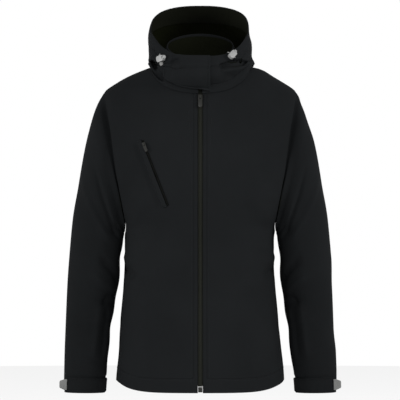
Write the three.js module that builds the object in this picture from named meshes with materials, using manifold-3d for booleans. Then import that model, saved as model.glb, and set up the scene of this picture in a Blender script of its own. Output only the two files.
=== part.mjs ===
// Women's softshell jacket with a detachable hood, shown as worn and held in its hollow form.
// Millimetres, +Z up, the front faces -Y. The origin is the middle of the neck opening,
// level with the shoulders. Heights in the tables count up from just below the cuffs.
import * as THREE from 'three';
import { mergeVertices } from 'three/addons/utils/BufferGeometryUtils.js';
import Module from 'manifold-3d';

const wasm = await Module();
wasm.setup();

// Driving dimensions of the cloth
const CLOTH = 2;
const SEAM = 0.3;
const HELD_HEIGHT = 660;
const ROUNDING = 2.4;
const HEM_FRONT = 7;
const HEM_SIDE = 28;
const HEM_SHARPNESS = 5;
const HEM_REACH = 0.3;
const SIDE_SEAM_ANGLE = 70;
const SEAM_TURN = 0.06;
const ARMHOLE = { middle: 486, halfHeight: 145, angle: 32, low: 373 };
const SHOULDER_HEIGHT = 631;
const UNDERARM_FLATNESS = 12;
const NECK = { halfWidth: 80, front: 640, side: 690, back: 684, pull: 0.9 };
const ZIP_HALF_GAP = 5.2;

// Torso rings: height, half width at the sides, depth before and behind the middle, middle y
const TORSO = [
  { h: 0, half: 177.5, front: 131, back: 128, mid: 0 },
  { h: 35, half: 176, front: 129, back: 127, mid: 0 },
  { h: 95, half: 170, front: 124, back: 122, mid: 0 },
  { h: 160, half: 164.6, front: 118, back: 114, mid: 0 },
  { h: 230, half: 158.4, front: 113, back: 104, mid: 0 },
  { h: 295, half: 155.4, front: 113, back: 99, mid: 0 },
  { h: 341, half: 157, front: 119, back: 101, mid: 0 },
  { h: 386, half: 174, front: 126, back: 105, mid: 0 },
  { h: 421, half: 188, front: 129, back: 109, mid: 0 },
  { h: 475, half: 204, front: 125, back: 112, mid: 1 },
  { h: 530, half: 210, front: 111, back: 108, mid: 3 },
  { h: 570, half: 210, front: 97, back: 100, mid: 5 },
  { h: 600, half: 208, front: 84, back: 91, mid: 7 },
  { h: 618, half: 206, front: 76, back: 84, mid: 8 },
  { h: 631, half: 201, front: 70, back: 78, mid: 9 },
  { h: 652, half: 172, front: 64, back: 70, mid: 10 },
  { h: 665, half: 148, front: 62, back: 65, mid: 10 },
  { h: 677, half: 119.5, front: 61, back: 61, mid: 10 },
  { h: 685, half: 98, front: 60, back: 58, mid: 10 },
  { h: 690, half: 80, front: 59, back: 56, mid: 10 },
];

// Row heights up a front or back panel: waist and hip rows, armhole rows, shoulder rows
const PANEL_ROWS = [0, 34, 70, 110, 150, 195, 240, 285, 330, 373, 400, 430, 465, 500, 535, 565, 592,
  610, 621, 628, 631, 641, 652, 663, 673, 682, 690];

// Columns across a side panel, from its front seam to its back seam
const SIDE_COLUMNS = [-1, -0.72, -0.4, 0, 0.4, 0.72, 1];

// Sleeve sections: outer and inner edge in the front view, depth before and behind, middle y
const SLEEVE = [
  { at: 0, outX: 201, outH: 631, inX: 158.4, inH: 341, front: 70, back: 72, mid: 4 },
  { at: 1, outX: 213, outH: 611, inX: 158.9, inH: 339.2, front: 72, back: 74, mid: 4 },
  { at: 2, outX: 225.6, outH: 579, inX: 159.4, inH: 337, front: 72, back: 75, mid: 4 },
  { at: 3, outX: 235.8, outH: 541, inX: 160, inH: 334, front: 71, back: 74, mid: 4 },
  { at: 4, outX: 247.2, outH: 490, inX: 160.8, inH: 329, front: 69, back: 72, mid: 4 },
  { at: 5, outX: 259.2, outH: 433, inX: 162.4, inH: 318, front: 66, back: 69, mid: 5 },
  { at: 6, outX: 267.4, outH: 375, inX: 165.2, inH: 292, front: 63, back: 66, mid: 7 },
  { at: 7, outX: 274.3, outH: 300, inX: 168.8, inH: 248, front: 59, back: 62, mid: 9 },
  { at: 8, outX: 279.8, outH: 225, inX: 175.2, inH: 192, front: 54, back: 57, mid: 7 },
  { at: 9, outX: 282.6, outH: 150, inX: 183.6, inH: 132, front: 48, back: 51, mid: -1 },
  { at: 10, outX: 284.6, outH: 84, inX: 192, inH: 74, front: 41, back: 43, mid: -12 },
  { at: 11, outX: 285.3, outH: 35, inX: 197, inH: 31, front: 37, back: 38, mid: -20 },
  { at: 12, outX: 284, outH: 2.6, inX: 199.2, inH: 2, front: 35, back: 36, mid: -25 },
];
const SLEEVE_ROUNDNESS = 0.9;
const SLEEVE_CAP = { rings: 2.2, underarmLift: 0.8, edgeRing: 0.35 };
const SLEEVE_RINGS = [0, 0.4, 1, 1.8, 2.6, 3.4, 4.2, 5, 5.6, 6.2, 6.8, 7.4, 8, 8.6, 9.2, 9.8, 10.4,
  11, 11.5, 12];

// Sleeve folds: place along and round the sleeve, reach of each, depth of the trough
const SLEEVE_FOLDS = [
  { at: 5.1, turn: 20, along: 0.75, round: 34, depth: 4 },
  { at: 7.9, turn: 150, along: 0.45, round: 40, depth: 5 },
  { at: 8.9, turn: 185, along: 0.4, round: 45, depth: 4 },
  { at: 6.3, turn: 205, along: 0.5, round: 40, depth: 4 },
];

// Hood rings from the lower edge to the rim: half width, front and back reach from the
// middle, heights at the front, side and back, and how sharply the back height sets in
const HOOD_MIDDLE = 20;
const HOOD = [
  { at: 0, half: 104, front: 70, back: 55, hFront: 625, hSide: 685, hBack: 668, sag: 1 },
  { at: 1, half: 104, front: 88, back: 66, hFront: 645, hSide: 688, hBack: 628, sag: 1.4 },
  { at: 2, half: 103.5, front: 94, back: 82, hFront: 664, hSide: 691, hBack: 590, sag: 1.8 },
  { at: 3, half: 102.5, front: 96, back: 115, hFront: 680, hSide: 694, hBack: 566, sag: 2 },
  { at: 4, half: 107.5, front: 100, back: 143, hFront: 685, hSide: 699, hBack: 586, sag: 2 },
  { at: 5, half: 108.5, front: 101, back: 156, hFront: 690, hSide: 710, hBack: 640, sag: 1.8 },
  { at: 6, half: 109, front: 101, back: 152, hFront: 694, hSide: 723, hBack: 700, sag: 1.5 },
  { at: 7, half: 108.5, front: 100, back: 132, hFront: 697.5, hSide: 737, hBack: 762, sag: 1.2 },
  { at: 8, half: 106.5, front: 98, back: 107, hFront: 700.5, hSide: 748, hBack: 797, sag: 0.8 },
  { at: 9, half: 104, front: 96, back: 90, hFront: 703, hSide: 757, hBack: 819.4, sag: 0.62 },
];
// Turns at which the hood's side panels end in front and meet the centre panel behind
const HOOD_SEAMS = { front: 1.2, panel: 148, joint: 0.12 };
const HOOD_LIFT = { edge: 2.9, rest: 4.8, reach: 0.35 };
const HOOD_RIM = 9;
const HOOD_RIM_FLATNESS = 3;

// Chin flap of the hood: its sides as turns, its lower edge and its two upper edges as rings
const CHIN = { from: -39.5, to: 8, stepFrom: -31, stepTo: -22, lowOuter: 1.3, lowCentre: 0.55,
  highOuter: 4.1, highCentre: 8.8 };
const LAYER_GAP = 1.1;
const CHIN_BRIDGE = { at: 3, reach: 0.9, height: 1.5 };

// Stand collar: top half width, front and back reach, and heights at the front and back
const COLLAR_INSET = 1.2;
const COLLAR_MIDDLE = 10;
const COLLAR_TOP = { half: 71, front: 66, back: 58, hFront: 699, hBack: 757 };

// Columns from the middle of a front or back panel to its edge
const PANEL_COLUMNS = Array.from({ length: 12 }, (_, i) => i / 11);
const BACK_COLUMNS = Array.from({ length: 11 }, (_, i) => i / 10);

// Front zip: half width, depth, how far it lies back, where it starts and ends
const ZIP = { halfWidth: 4.9, depth: 1.5, recess: 0.4, low: 20.5, high: 696 };
const ZIP_ROWS = [70, 130, 190, 250, 310, 370, 430, 480, 530, 575, 610, 640, 668];
const RETAINER = { width: 9.2, height: 11, depth: 3.2, corner: 1.2, h: 14.2 };
const FRONT_SLIDER = { h: 616.5, scale: 1 };

// Chest pocket on the wearer's right: ends of its middle line in the front view, widths across it
const POCKET = { topX: 124.5, topH: 528, endX: 70, endH: 389, outer: -9, weltTo: 2, zipFrom: 2.4, zipTo: 6.8,
  zipStart: 0.02, zipEnd: 0.985 };
const POCKET_LIFT = 0.4;
const POCKET_WELT = 1.4;
const POCKET_ZIP = 1;
const WELT_TIPS = { topShare: 0.35, topReach: 0.05, endShare: 0.2, endFrom: 0.97 };
const POCKET_SLIDER = { along: 0.085, scale: 0.72, gap: 0.1 };

// Cuff strap and its moulded tab
const STRAP = { from: 36, to: 232, low: 11.93, high: 10.98, depth: 1.6, gap: 0.5 };
const TAB = { turn: 38, at: 11.45, root: 2, shoulder: 4, length: 15, height: 22.5, tip: 17, corner: 4,
  depth: 2.2, lift: 3.6, back: 0.4, rise: 0.03 };

// Zip slider and pull tab, at full scale
const SLIDER = { width: 9.2, length: 12.5, corner: 2.2, plate: 2.4, lift: 0.3, bridgeWidth: 2.4,
  bridgeHalf: 4, bridgeRoot: 0.4, windowHalf: 2.7, windowTop: 4.9, bridgeTop: 5.9 };
const PULL = { width: 8.4, length: 24.5, depth: 1.3, axis: 3.85, barRadius: 0.55, barInset: 0.3,
  slotHalf: 1.7, slotEnd: 6.4 };
// How far a cutting body reaches past the surface that it cuts
const CUT_PAST = 1;

// Cord locks: place on the hood as turn and ring, tilt of the long axis in the front view
const LOCKS = [
  { side: 'right', turn: -43.2, at: 5.35, tilt: 22, cordEnd: true },
  { side: 'left', turn: 32.8, at: 7.1, tilt: 51, cordEnd: false },
];
const LOCK = { length: 17.5, width: 12.4, depth: 9, corner: 4.4, bore: 3.75, wall: 1.3, lift: 0.2,
  notch: 2.3, notchDepth: 2.6 };
const PLUNGER = { radius: 3.4, inner: -4.4, outer: 12.4, slotLow: -3.3, slotHigh: 3.2, slotHalf: 1.75 };
const CORD = { radius: 1.25, hole: 1.75, x: -1.5, tail: 2.4, inset: 1, bendOut: 2.2, bendDip: 0.6,
  dive: 4, diveTo: 1.2, steps: 10 };
const CORD_END = [[0, 0], [3.4, 0], [4, 1.2], [4, 5.6], [3, 7.4], [0, 7.4]];

const MATERIALS = {
  shell: new THREE.MeshStandardMaterial({ color: 0x1f2123, roughness: 0.92, metalness: 0 }),
  zip: new THREE.MeshStandardMaterial({ color: 0x191a15, roughness: 0.6, metalness: 0 }),
  slider: new THREE.MeshStandardMaterial({ color: 0x34352f, roughness: 0.45, metalness: 0.6 }),
  lock: new THREE.MeshStandardMaterial({ color: 0x8d8e8c, roughness: 0.5, metalness: 0 }),
  cord: new THREE.MeshStandardMaterial({ color: 0x2b2c2a, roughness: 0.8, metalness: 0 }),
};

const jacket = new THREE.Group();
jacket.position.z = -HELD_HEIGHT;

// Small helpers
const radians = (turn) => (turn * Math.PI) / 180;
const degrees = (turn) => (turn * 180) / Math.PI;
const mix = (a, b, t) => a + (b - a) * t;
const clamp = (value, low, high) => Math.min(Math.max(value, low), high);
const ease = (low, high, value) => {
  const t = clamp((value - low) / (high - low), 0, 1);
  return t * t * (3 - 2 * t);
};
const steps = (low, high, count) => Array.from({ length: count + 1 }, (_, i) => mix(low, high, i / count));

// Reads one column of a table at any place, on a smooth curve that never overshoots its rows
function read(table, by, key, place) {
  const last = table.length - 1;
  const at = clamp(place, table[0][by], table[last][by]);
  let i = 0;
  while (i < last - 1 && table[i + 1][by] < at) i += 1;
  const slope = (k) => (table[k + 1][key] - table[k][key]) / (table[k + 1][by] - table[k][by]);
  const tangent = (k) => {
    if (k === 0) return slope(0);
    if (k === last) return slope(last - 1);
    const before = slope(k - 1);
    const after = slope(k);
    return before * after <= 0 ? 0 : (2 * before * after) / (before + after);
  };
  const span = table[i + 1][by] - table[i][by];
  const t = (at - table[i][by]) / span;
  const rise = t * t * (3 - 2 * t);
  return mix(table[i][key], table[i + 1][key], rise)
    + span * (t * (1 - t) * (1 - t) * tangent(i) - t * t * (1 - t) * tangent(i + 1));
}

// Signed power, for rounded-square rings
const bend = (value, power) => Math.sign(value) * Math.abs(value) ** power;

// Torso

// A point of the torso's outer face: angle 0 at the centre front, 90 at the side, 180 at the back
function torsoPoint(angle, h) {
  const half = read(TORSO, 'h', 'half', h);
  const cos = Math.cos(radians(angle));
  const depth = read(TORSO, 'h', cos > 0 ? 'front' : 'back', h);
  const x = half * bend(Math.sin(radians(angle)), 2 / ROUNDING);
  const y = read(TORSO, 'h', 'mid', h) - depth * bend(cos, 2 / ROUNDING);
  return new THREE.Vector3(x, y, h);
}

// The angle at which the torso ring at height h is x wide
function angleAt(x, h, back = false) {
  const share = clamp(Math.abs(x) / read(TORSO, 'h', 'half', h), 0, 1);
  const angle = degrees(Math.asin(share ** (ROUNDING / 2)));
  return back ? 180 - angle : angle;
}

// How far the hem's curve lifts a row that is the share t of the way up the torso
function hemLift(angle, t) {
  const hem = mix(HEM_FRONT, HEM_SIDE, Math.abs(Math.sin(radians(angle))) ** HEM_SHARPNESS);
  return hem * (1 - ease(0, HEM_REACH, t)) * (1 - t);
}

// Half the angle that the armhole takes from the side at height h
function armholeShare(h) {
  return Math.sqrt(Math.max(0, 1 - ((h - ARMHOLE.middle) / ARMHOLE.halfHeight) ** 2));
}

// The edge of a front or back panel at height h: side seam, armhole, then shoulder seam
function panelEdge(h, back) {
  const seam = back ? 180 - SIDE_SEAM_ANGLE : SIDE_SEAM_ANGLE;
  const spread = armholeShare(h) * (back ? -ARMHOLE.angle : ARMHOLE.angle);
  const gap = back ? SEAM_TURN : -SEAM_TURN;
  if (h <= ARMHOLE.low) return seam + gap;
  return h < SHOULDER_HEIGHT ? 90 - spread : 90 + gap;
}

// The neckline of a panel: s runs from the centre to the neck side point
function neckline(s, back) {
  const turn = radians(90 * s);
  const x = Math.max(NECK.halfWidth * Math.sin(turn), back ? 0 : ZIP_HALF_GAP);
  const h = mix(back ? NECK.back : NECK.front, NECK.side, 1 - Math.cos(turn));
  if (s === 1) return { angle: 90 + (back ? SEAM_TURN : -SEAM_TURN), h: NECK.side };
  return { angle: angleAt(x, h, back), h };
}

// Torso panel point: s from the centre (0) to the side (1), h the row height at the side
function panelPoint(s, rowHeight, back) {
  const t = rowHeight / NECK.side;
  const sideAngle = panelEdge(Math.max(rowHeight, HEM_SIDE), back);
  const centreTop = back ? NECK.back : NECK.front;
  const centre = (h) => (back ? 180 : angleAt(ZIP_HALF_GAP, h));
  const level = mix(mix(0, centreTop, t), rowHeight, s);
  const plain = { angle: mix(centre(level), sideAngle, s), h: level };
  const top = neckline(s, back);
  const flat = {
    angle: mix(centre(centreTop), panelEdge(NECK.side, back), s),
    h: mix(centreTop, NECK.side, s),
  };
  const pull = ease(NECK.pull, 1, t);
  const angle = plain.angle + pull * (top.angle - flat.angle);
  const h = plain.h + pull * (top.h - flat.h);
  return torsoPoint(angle, h + hemLift(angle, t));
}

// Walls

// The normal of a surface at (u, v), from steps of du and dv to either side
function crossNormal(surface, u, v, du, dv) {
  const along = surface(u + du, v).sub(surface(u - du, v));
  const across = surface(u, v + dv).sub(surface(u, v - dv));
  return along.cross(across).normalize();
}

// Closed solid from two grids of points, outer and inner, joined at their edges; a ring's columns
// run on from the last to the first
function solidFromGrids(outer, inner, ring = false) {
  const rows = outer.length;
  const columns = outer[0].length;
  const positions = [];
  for (const grid of [outer, inner]) {
    for (const row of grid) {
      for (const p of row) positions.push(p.x, p.y, p.z);
    }
  }
  const id = (side, i, j) => side * rows * columns + i * columns + (j % columns);
  const indices = [];
  const quad = (a, b, c, d) => indices.push(a, b, c, a, c, d);
  const lastColumn = ring ? columns : columns - 1;
  for (let i = 0; i < rows - 1; i += 1) {
    for (let j = 0; j < lastColumn; j += 1) {
      quad(id(0, i, j), id(0, i, j + 1), id(0, i + 1, j + 1), id(0, i + 1, j));
      quad(id(1, i, j), id(1, i + 1, j), id(1, i + 1, j + 1), id(1, i, j + 1));
    }
  }
  for (let j = 0; j < lastColumn; j += 1) {
    quad(id(0, 0, j), id(1, 0, j), id(1, 0, j + 1), id(0, 0, j + 1));
    quad(id(0, rows - 1, j), id(0, rows - 1, j + 1), id(1, rows - 1, j + 1), id(1, rows - 1, j));
  }
  if (!ring) {
    const end = columns - 1;
    for (let i = 0; i < rows - 1; i += 1) {
      quad(id(0, i, 0), id(0, i + 1, 0), id(1, i + 1, 0), id(1, i, 0));
      quad(id(0, i, end), id(1, i, end), id(1, i + 1, end), id(0, i + 1, end));
    }
  }
  const geometry = new THREE.BufferGeometry();
  geometry.setAttribute('position', new THREE.Float32BufferAttribute(positions, 3));
  geometry.setIndex(indices);
  return facingOut(geometry);
}

// Turns every triangle round if the solid's volume comes out negative
function facingOut(geometry) {
  const p = geometry.getAttribute('position');
  const index = geometry.getIndex().array;
  const a = new THREE.Vector3();
  const b = new THREE.Vector3();
  const c = new THREE.Vector3();
  let volume = 0;
  for (let k = 0; k < index.length; k += 3) {
    a.fromBufferAttribute(p, index[k]);
    b.fromBufferAttribute(p, index[k + 1]);
    c.fromBufferAttribute(p, index[k + 2]);
    volume += a.dot(b.cross(c));
  }
  if (volume < 0) {
    for (let k = 0; k < index.length; k += 3) {
      [index[k + 1], index[k + 2]] = [index[k + 2], index[k + 1]];
    }
  }
  geometry.computeVertexNormals();
  return geometry;
}

// A wall on a surface: its outer and inner faces are the surface moved along its normals
function wall(surface, normalOf, us, vs, { outside = 0, inside = CLOTH, mirror = false } = {}) {
  const outer = [];
  const inner = [];
  for (const v of vs) {
    const outerRow = [];
    const innerRow = [];
    for (const u of us) {
      const normal = normalOf(u, v);
      const point = surface(u, v);
      outerRow.push(point.clone().addScaledVector(normal, outside));
      innerRow.push(point.clone().addScaledVector(normal, -inside));
    }
    outer.push(outerRow);
    inner.push(innerRow);
  }
  if (mirror) mirrorRows([...outer, ...inner]);
  return solidFromGrids(outer, inner);
}

function mirrorRows(rows) {
  for (const row of rows) {
    for (const p of row) p.x = -p.x;
  }
}

function add(name, geometry, material, place = null) {
  const mesh = new THREE.Mesh(geometry, MATERIALS[material]);
  mesh.name = name;
  if (place) {
    mesh.position.copy(place.position);
    mesh.quaternion.copy(place.quaternion);
  }
  jacket.add(mesh);
}

// Normals of a panel come from the whole torso, so that neighbours stay parallel at a seam
function torsoNormal(point) {
  const h = clamp(point.z, 1, NECK.side - 0.5);
  const back = point.y > read(TORSO, 'h', 'mid', h);
  const x = Math.abs(point.x);
  const angle = clamp(angleAt(x, h, back), 0.2, 179.8);
  const turn = 0.15;
  const rise = 0.4;
  const side = Math.sign(point.x) || 1;
  const along = torsoPoint(angle + turn, h).sub(torsoPoint(angle - turn, h));
  const up = torsoPoint(angle, h + rise).sub(torsoPoint(angle, h - rise));
  const normal = along.cross(up).normalize();
  normal.x *= side;
  return normal;
}

function buildTorso() {
  const panel = (surface, us, vs, mirror) => wall(surface, (u, v) => torsoNormal(surface(u, v)), us, vs,
    { mirror });
  const frontHalf = (s, h) => panelPoint(s, h, false);
  const sideRows = PANEL_ROWS.filter((h) => h <= ARMHOLE.low);
  for (const side of ['right', 'left']) {
    add(`front_${side}`, panel(frontHalf, PANEL_COLUMNS, PANEL_ROWS, side === 'right'), 'shell');
    add(`side_${side}`, panel(sidePoint, SIDE_COLUMNS, sideRows, side === 'right'), 'shell');
  }
  const backAcross = [...BACK_COLUMNS.slice(1).map((s) => -s).reverse(), ...BACK_COLUMNS];
  const backPoint = (s, h) => {
    const p = panelPoint(Math.abs(s), h, true);
    return new THREE.Vector3(Math.sign(s) * p.x, p.y, p.z);
  };
  add('back', panel(backPoint, backAcross, PANEL_ROWS, false), 'shell');
}

// Side panel point: s from the front seam (-1) to the back seam (1), up to the armhole
function sidePoint(s, rowHeight) {
  const reach = 90 - SIDE_SEAM_ANGLE;
  const angle = 90 + s * (reach - SEAM_TURN);
  const share = Math.sqrt(1 - ((s * reach) / ARMHOLE.angle) ** 2);
  const top = ARMHOLE.middle - ARMHOLE.halfHeight * share;
  const t = rowHeight / NECK.side;
  const pull = ease(0.5, 1, rowHeight / ARMHOLE.low) * (1 - Math.abs(s) ** UNDERARM_FLATNESS);
  return torsoPoint(angle, rowHeight + hemLift(angle, t) + pull * (top - ARMHOLE.low));
}

// Sleeves

// The armhole's edge: turn 0 at the shoulder, 90 at the front, 180 under the arm, 270 at the back
function armholePoint(turn) {
  const sin = Math.sin(radians(turn));
  const h = ARMHOLE.middle + ARMHOLE.halfHeight * Math.cos(radians(turn));
  return torsoPoint(90 - sin * ARMHOLE.angle, h);
}

function sleeveSection(turn, at) {
  const get = (key) => read(SLEEVE, 'at', key, at);
  const cos = Math.cos(radians(turn));
  const sin = Math.sin(radians(turn));
  const reach = bend(cos, SLEEVE_ROUNDNESS);
  const depth = sin > 0 ? get('front') : get('back');
  const x = (get('outX') + get('inX')) / 2 + ((get('outX') - get('inX')) / 2) * reach;
  const h = (get('outH') + get('inH')) / 2 + ((get('outH') - get('inH')) / 2) * reach;
  return new THREE.Vector3(x, get('mid') - depth * bend(sin, SLEEVE_ROUNDNESS), h);
}

function sleevePoint(turn, at) {
  const point = sleeveSection(turn, at);
  const keep = 1 - ease(0, SLEEVE_CAP.rings, at);
  if (keep > 0) {
    const under = (1 - Math.cos(radians(turn))) / 2;
    const edge = armholePoint(turn);
    edge.addScaledVector(torsoNormal(edge), SLEEVE_CAP.underarmLift * under ** 3);
    point.addScaledVector(edge.sub(sleeveSection(turn, 0)), keep);
  }
  return point;
}

function sleeveFold(turn, at) {
  let depth = 0;
  for (const fold of SLEEVE_FOLDS) {
    const away = (((turn - fold.turn) % 360) + 540) % 360 - 180;
    const spread = (away / fold.round) ** 2 + ((at - fold.at) / fold.along) ** 2;
    depth += fold.depth * Math.exp(-spread);
  }
  return depth;
}

// Outward normal of the sleeve, taken from its middle line
function sleeveNormal(turn, at) {
  const along = sleevePoint(turn, at + 0.04).sub(sleevePoint(turn, Math.max(at - 0.04, 0)));
  const round = sleevePoint(turn + 1.5, at).sub(sleevePoint(turn - 1.5, at));
  return round.cross(along).normalize();
}

// The turns at which the armhole meets the rows of the panels and the columns under the arm
function armholeTurns() {
  const rows = PANEL_ROWS.filter((h) => h >= ARMHOLE.low && h < SHOULDER_HEIGHT).reverse();
  const front = rows.map((h) => degrees(Math.acos((h - ARMHOLE.middle) / ARMHOLE.halfHeight)));
  const reach = 90 - SIDE_SEAM_ANGLE;
  const under = SIDE_COLUMNS.slice(1, -1)
    .map((s) => 180 + degrees(Math.asin((s * reach) / ARMHOLE.angle)));
  return [0, ...front, ...under, ...front.map((turn) => 360 - turn).reverse()];
}

function buildSleeve(side) {
  const turns = armholeTurns();
  const outer = [];
  const inner = [];
  for (const at of SLEEVE_RINGS) {
    const outerRow = [];
    const innerRow = [];
    for (const turn of turns) {
      let normal = sleeveNormal(turn, at);
      const point = sleevePoint(turn, at);
      if (at === 0) {
        const body = torsoNormal(point);
        const share = ease(0, 0.6, normal.dot(body));
        const away = sleevePoint(turn, SLEEVE_CAP.edgeRing).sub(point).normalize();
        normal = normal.lerp(body, share).normalize();
        point.addScaledVector(away, SEAM);
      }
      point.addScaledVector(normal, -sleeveFold(turn, at));
      outerRow.push(point.clone());
      innerRow.push(point.clone().addScaledVector(normal, -CLOTH));
    }
    outer.push(outerRow);
    inner.push(innerRow);
  }
  if (side === 'right') mirrorRows([...outer, ...inner]);
  add(`sleeve_${side}`, solidFromGrids(outer, inner, true), 'shell');
}

// Collar and hood

// The neck seam all round: turn 0 at the front, 90 at the side, 180 at the back
function neckPoint(turn) {
  const back = Math.cos(radians(turn)) < 0;
  const sin = Math.abs(Math.sin(radians(turn)));
  const cos = Math.abs(Math.cos(radians(turn)));
  const h = mix(back ? NECK.back : NECK.front, NECK.side, 1 - cos);
  const point = torsoPoint(sin > 0.9999 ? 90 : angleAt(NECK.halfWidth * sin, h, back), h);
  if (Math.sin(radians(turn)) < 0) point.x = -point.x;
  return point;
}

function collarPoint(turn, t) {
  const sin = Math.sin(radians(turn));
  const cos = Math.cos(radians(turn));
  const base = neckPoint(turn);
  base.add(new THREE.Vector3(-COLLAR_INSET * sin, COLLAR_INSET * cos, SEAM));
  const reach = cos > 0 ? COLLAR_TOP.front : COLLAR_TOP.back;
  const top = new THREE.Vector3(COLLAR_TOP.half * sin, COLLAR_MIDDLE - reach * cos,
    mix(COLLAR_TOP.hFront, COLLAR_TOP.hBack, (1 - cos) / 2));
  return base.lerp(top, t);
}

// The collar stands nearly upright, so its normals are level
function collarNormal(turn) {
  const cos = Math.cos(radians(turn));
  const reach = cos > 0 ? COLLAR_TOP.front : COLLAR_TOP.back;
  return new THREE.Vector3(Math.sin(radians(turn)) / COLLAR_TOP.half, -cos / reach, 0).normalize();
}

function buildCollar() {
  const start = degrees(Math.asin((ZIP_HALF_GAP + SEAM / 2) / COLLAR_TOP.half));
  const quarter = PANEL_COLUMNS.slice(1).map((s) => 90 * s);
  const half = [start, ...quarter, ...BACK_COLUMNS.slice(1).map((s) => 90 + 90 * s)];
  const turns = [...half, ...half.slice(0, -1).map((turn) => 360 - turn).reverse()];
  add('collar', wall(collarPoint, collarNormal, turns, [0, 0.35, 0.7, 1]), 'shell');
}

// Moves a point out along the torso's normal until it lies at least the lift above the torso
function clearOfTorso(point, lift, back) {
  const h = Math.min(point.z, NECK.side - 0.5);
  const below = torsoPoint(angleAt(point.x, h, back), h);
  if (point.x < 0) below.x = -below.x;
  const normal = torsoNormal(below);
  const height = point.clone().sub(below).dot(normal);
  return height < lift ? point.addScaledVector(normal, lift - height) : point;
}

// A point of the hood's outer face: turn as on the neck, at from the lower edge (0) to the rim (9)
function hoodPoint(turn, at) {
  const get = (key) => read(HOOD, 'at', key, at);
  const sin = Math.sin(radians(turn));
  const cos = Math.cos(radians(turn));
  const front = cos > 0;
  const x = get('half') * bend(sin, 2 / ROUNDING);
  const rim = 1 - Math.abs(sin) ** HOOD_RIM_FLATNESS;
  const share = front ? mix(cos, rim, at / HOOD_RIM) : Math.abs(cos) ** get('sag');
  const h = get('hSide') + (get(front ? 'hFront' : 'hBack') - get('hSide')) * share;
  const reach = get(front ? 'front' : 'back') * Math.abs(cos) ** (2 / ROUNDING);
  const onBody = torsoPoint(angleAt(x, h, !front), Math.min(h, NECK.side - 0.5));
  const y = mix(onBody.y, HOOD_MIDDLE + (front ? -reach : reach), ease(0, 2, at));
  const point = new THREE.Vector3(x, y, h);
  const lift = mix(HOOD_LIFT.edge, HOOD_LIFT.rest, ease(0, HOOD_LIFT.reach, at));
  return clearOfTorso(point, lift, !front);
}

function hoodNormal(turn, at) {
  const step = 0.12;
  const along = hoodPoint(turn + 0.8, at).sub(hoodPoint(turn - 0.8, at));
  const up = hoodPoint(turn, Math.min(at + step, HOOD_RIM)).sub(hoodPoint(turn, Math.max(at - step, 0)));
  return along.cross(up).normalize();
}

function buildHood() {
  const rows = [0, 0.35, 0.7, 1.05, 1.4, 2.1, 2.7, 3.2, 3.7, 4.2, 5, 5.8, 6.6, 7.4, 8.2, HOOD_RIM];
  const side = steps(HOOD_SEAMS.front, HOOD_SEAMS.panel - HOOD_SEAMS.joint, 14);
  for (const name of ['right', 'left']) {
    add(`hood_side_${name}`, wall(hoodPoint, hoodNormal, side, rows, { mirror: name === 'right' }), 'shell');
  }
  const panel = HOOD_SEAMS.panel + HOOD_SEAMS.joint;
  add('hood_centre', wall(hoodPoint, hoodNormal, steps(panel, 360 - panel, 8), rows), 'shell');
}

// The hood's chin flap lies on the front of the hood, moved out
function chinPoint(s, t) {
  const turn = mix(CHIN.from, CHIN.to, s);
  const rise = ease(CHIN.stepFrom, CHIN.stepTo, turn);
  const low = mix(CHIN.lowOuter, CHIN.lowCentre, s);
  const at = mix(low, mix(CHIN.highOuter, CHIN.highCentre, rise), t);
  const bridge = CHIN_BRIDGE.height * Math.exp(-(((at - CHIN_BRIDGE.at) / CHIN_BRIDGE.reach) ** 2));
  return hoodPoint(turn, at).addScaledVector(hoodNormal(turn, at), bridge);
}

function buildChin() {
  const normalOf = (s, t) => crossNormal(chinPoint, s, t, 0.01, 0.02);
  const across = [0, 0.12, 0.22, 0.3, 0.38, 0.48, 0.6, 0.72, 0.86, 1];
  const flap = wall(chinPoint, normalOf, across, steps(0, 1, 9),
    { outside: LAYER_GAP + CLOTH, inside: -LAYER_GAP });
  add('hood_chin_flap', flap, 'shell');
}

// Layers and hardware on the fronts

// A point of the front in the front view, for any x; above the neck it runs up to the collar's top
function frontPoint(x, h) {
  const top = NECK.front;
  if (h <= top) {
    const point = torsoPoint(angleAt(x, h), h);
    return point.setX(x);
  }
  const base = torsoPoint(angleAt(x, top), top).y;
  const share = (h - top) / (COLLAR_TOP.hFront - top);
  return new THREE.Vector3(x, mix(base, COLLAR_MIDDLE - COLLAR_TOP.front, share), h);
}

const frontNormal = (x, h) => crossNormal(frontPoint, x, h, 0.5, 1);

// Solid plate cut from a flat outline, its face on z = 0 and its depth along +z
function plate(shape, depth, curveSegments = 5) {
  return new THREE.ExtrudeGeometry(shape, { depth, bevelEnabled: false, curveSegments });
}

function roundedOutline(width, height, radius) {
  const x = width / 2;
  const y = height / 2;
  const outline = new THREE.Shape();
  outline.moveTo(-x + radius, -y);
  outline.lineTo(x - radius, -y);
  outline.absarc(x - radius, -y + radius, radius, -Math.PI / 2, 0, false);
  outline.absarc(x - radius, y - radius, radius, 0, Math.PI / 2, false);
  outline.absarc(-x + radius, y - radius, radius, Math.PI / 2, Math.PI, false);
  outline.absarc(-x + radius, -y + radius, radius, Math.PI, 1.5 * Math.PI, false);
  return outline;
}

// Position and turn of a piece that sits on a surface: z along the normal, y along up
function seat(point, normal, up) {
  const z = normal.clone().normalize();
  const x = up.clone().cross(z).normalize();
  const y = z.clone().cross(x);
  const basis = new THREE.Matrix4().makeBasis(x, y, z);
  return { position: point.clone(), quaternion: new THREE.Quaternion().setFromRotationMatrix(basis) };
}

// One vertex at each place, so that the faces share it
function joined(geometry) {
  geometry.deleteAttribute('normal');
  geometry.deleteAttribute('uv');
  return mergeVertices(geometry, 1e-4);
}

// Booleans on closed meshes
function toSolid(geometry, matrix = new THREE.Matrix4()) {
  const merged = joined(geometry.clone().applyMatrix4(matrix));
  return new wasm.Manifold(new wasm.Mesh({
    numProp: 3,
    vertProperties: new Float32Array(merged.getAttribute('position').array),
    triVerts: new Uint32Array(merged.getIndex().array),
  }));
}

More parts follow.
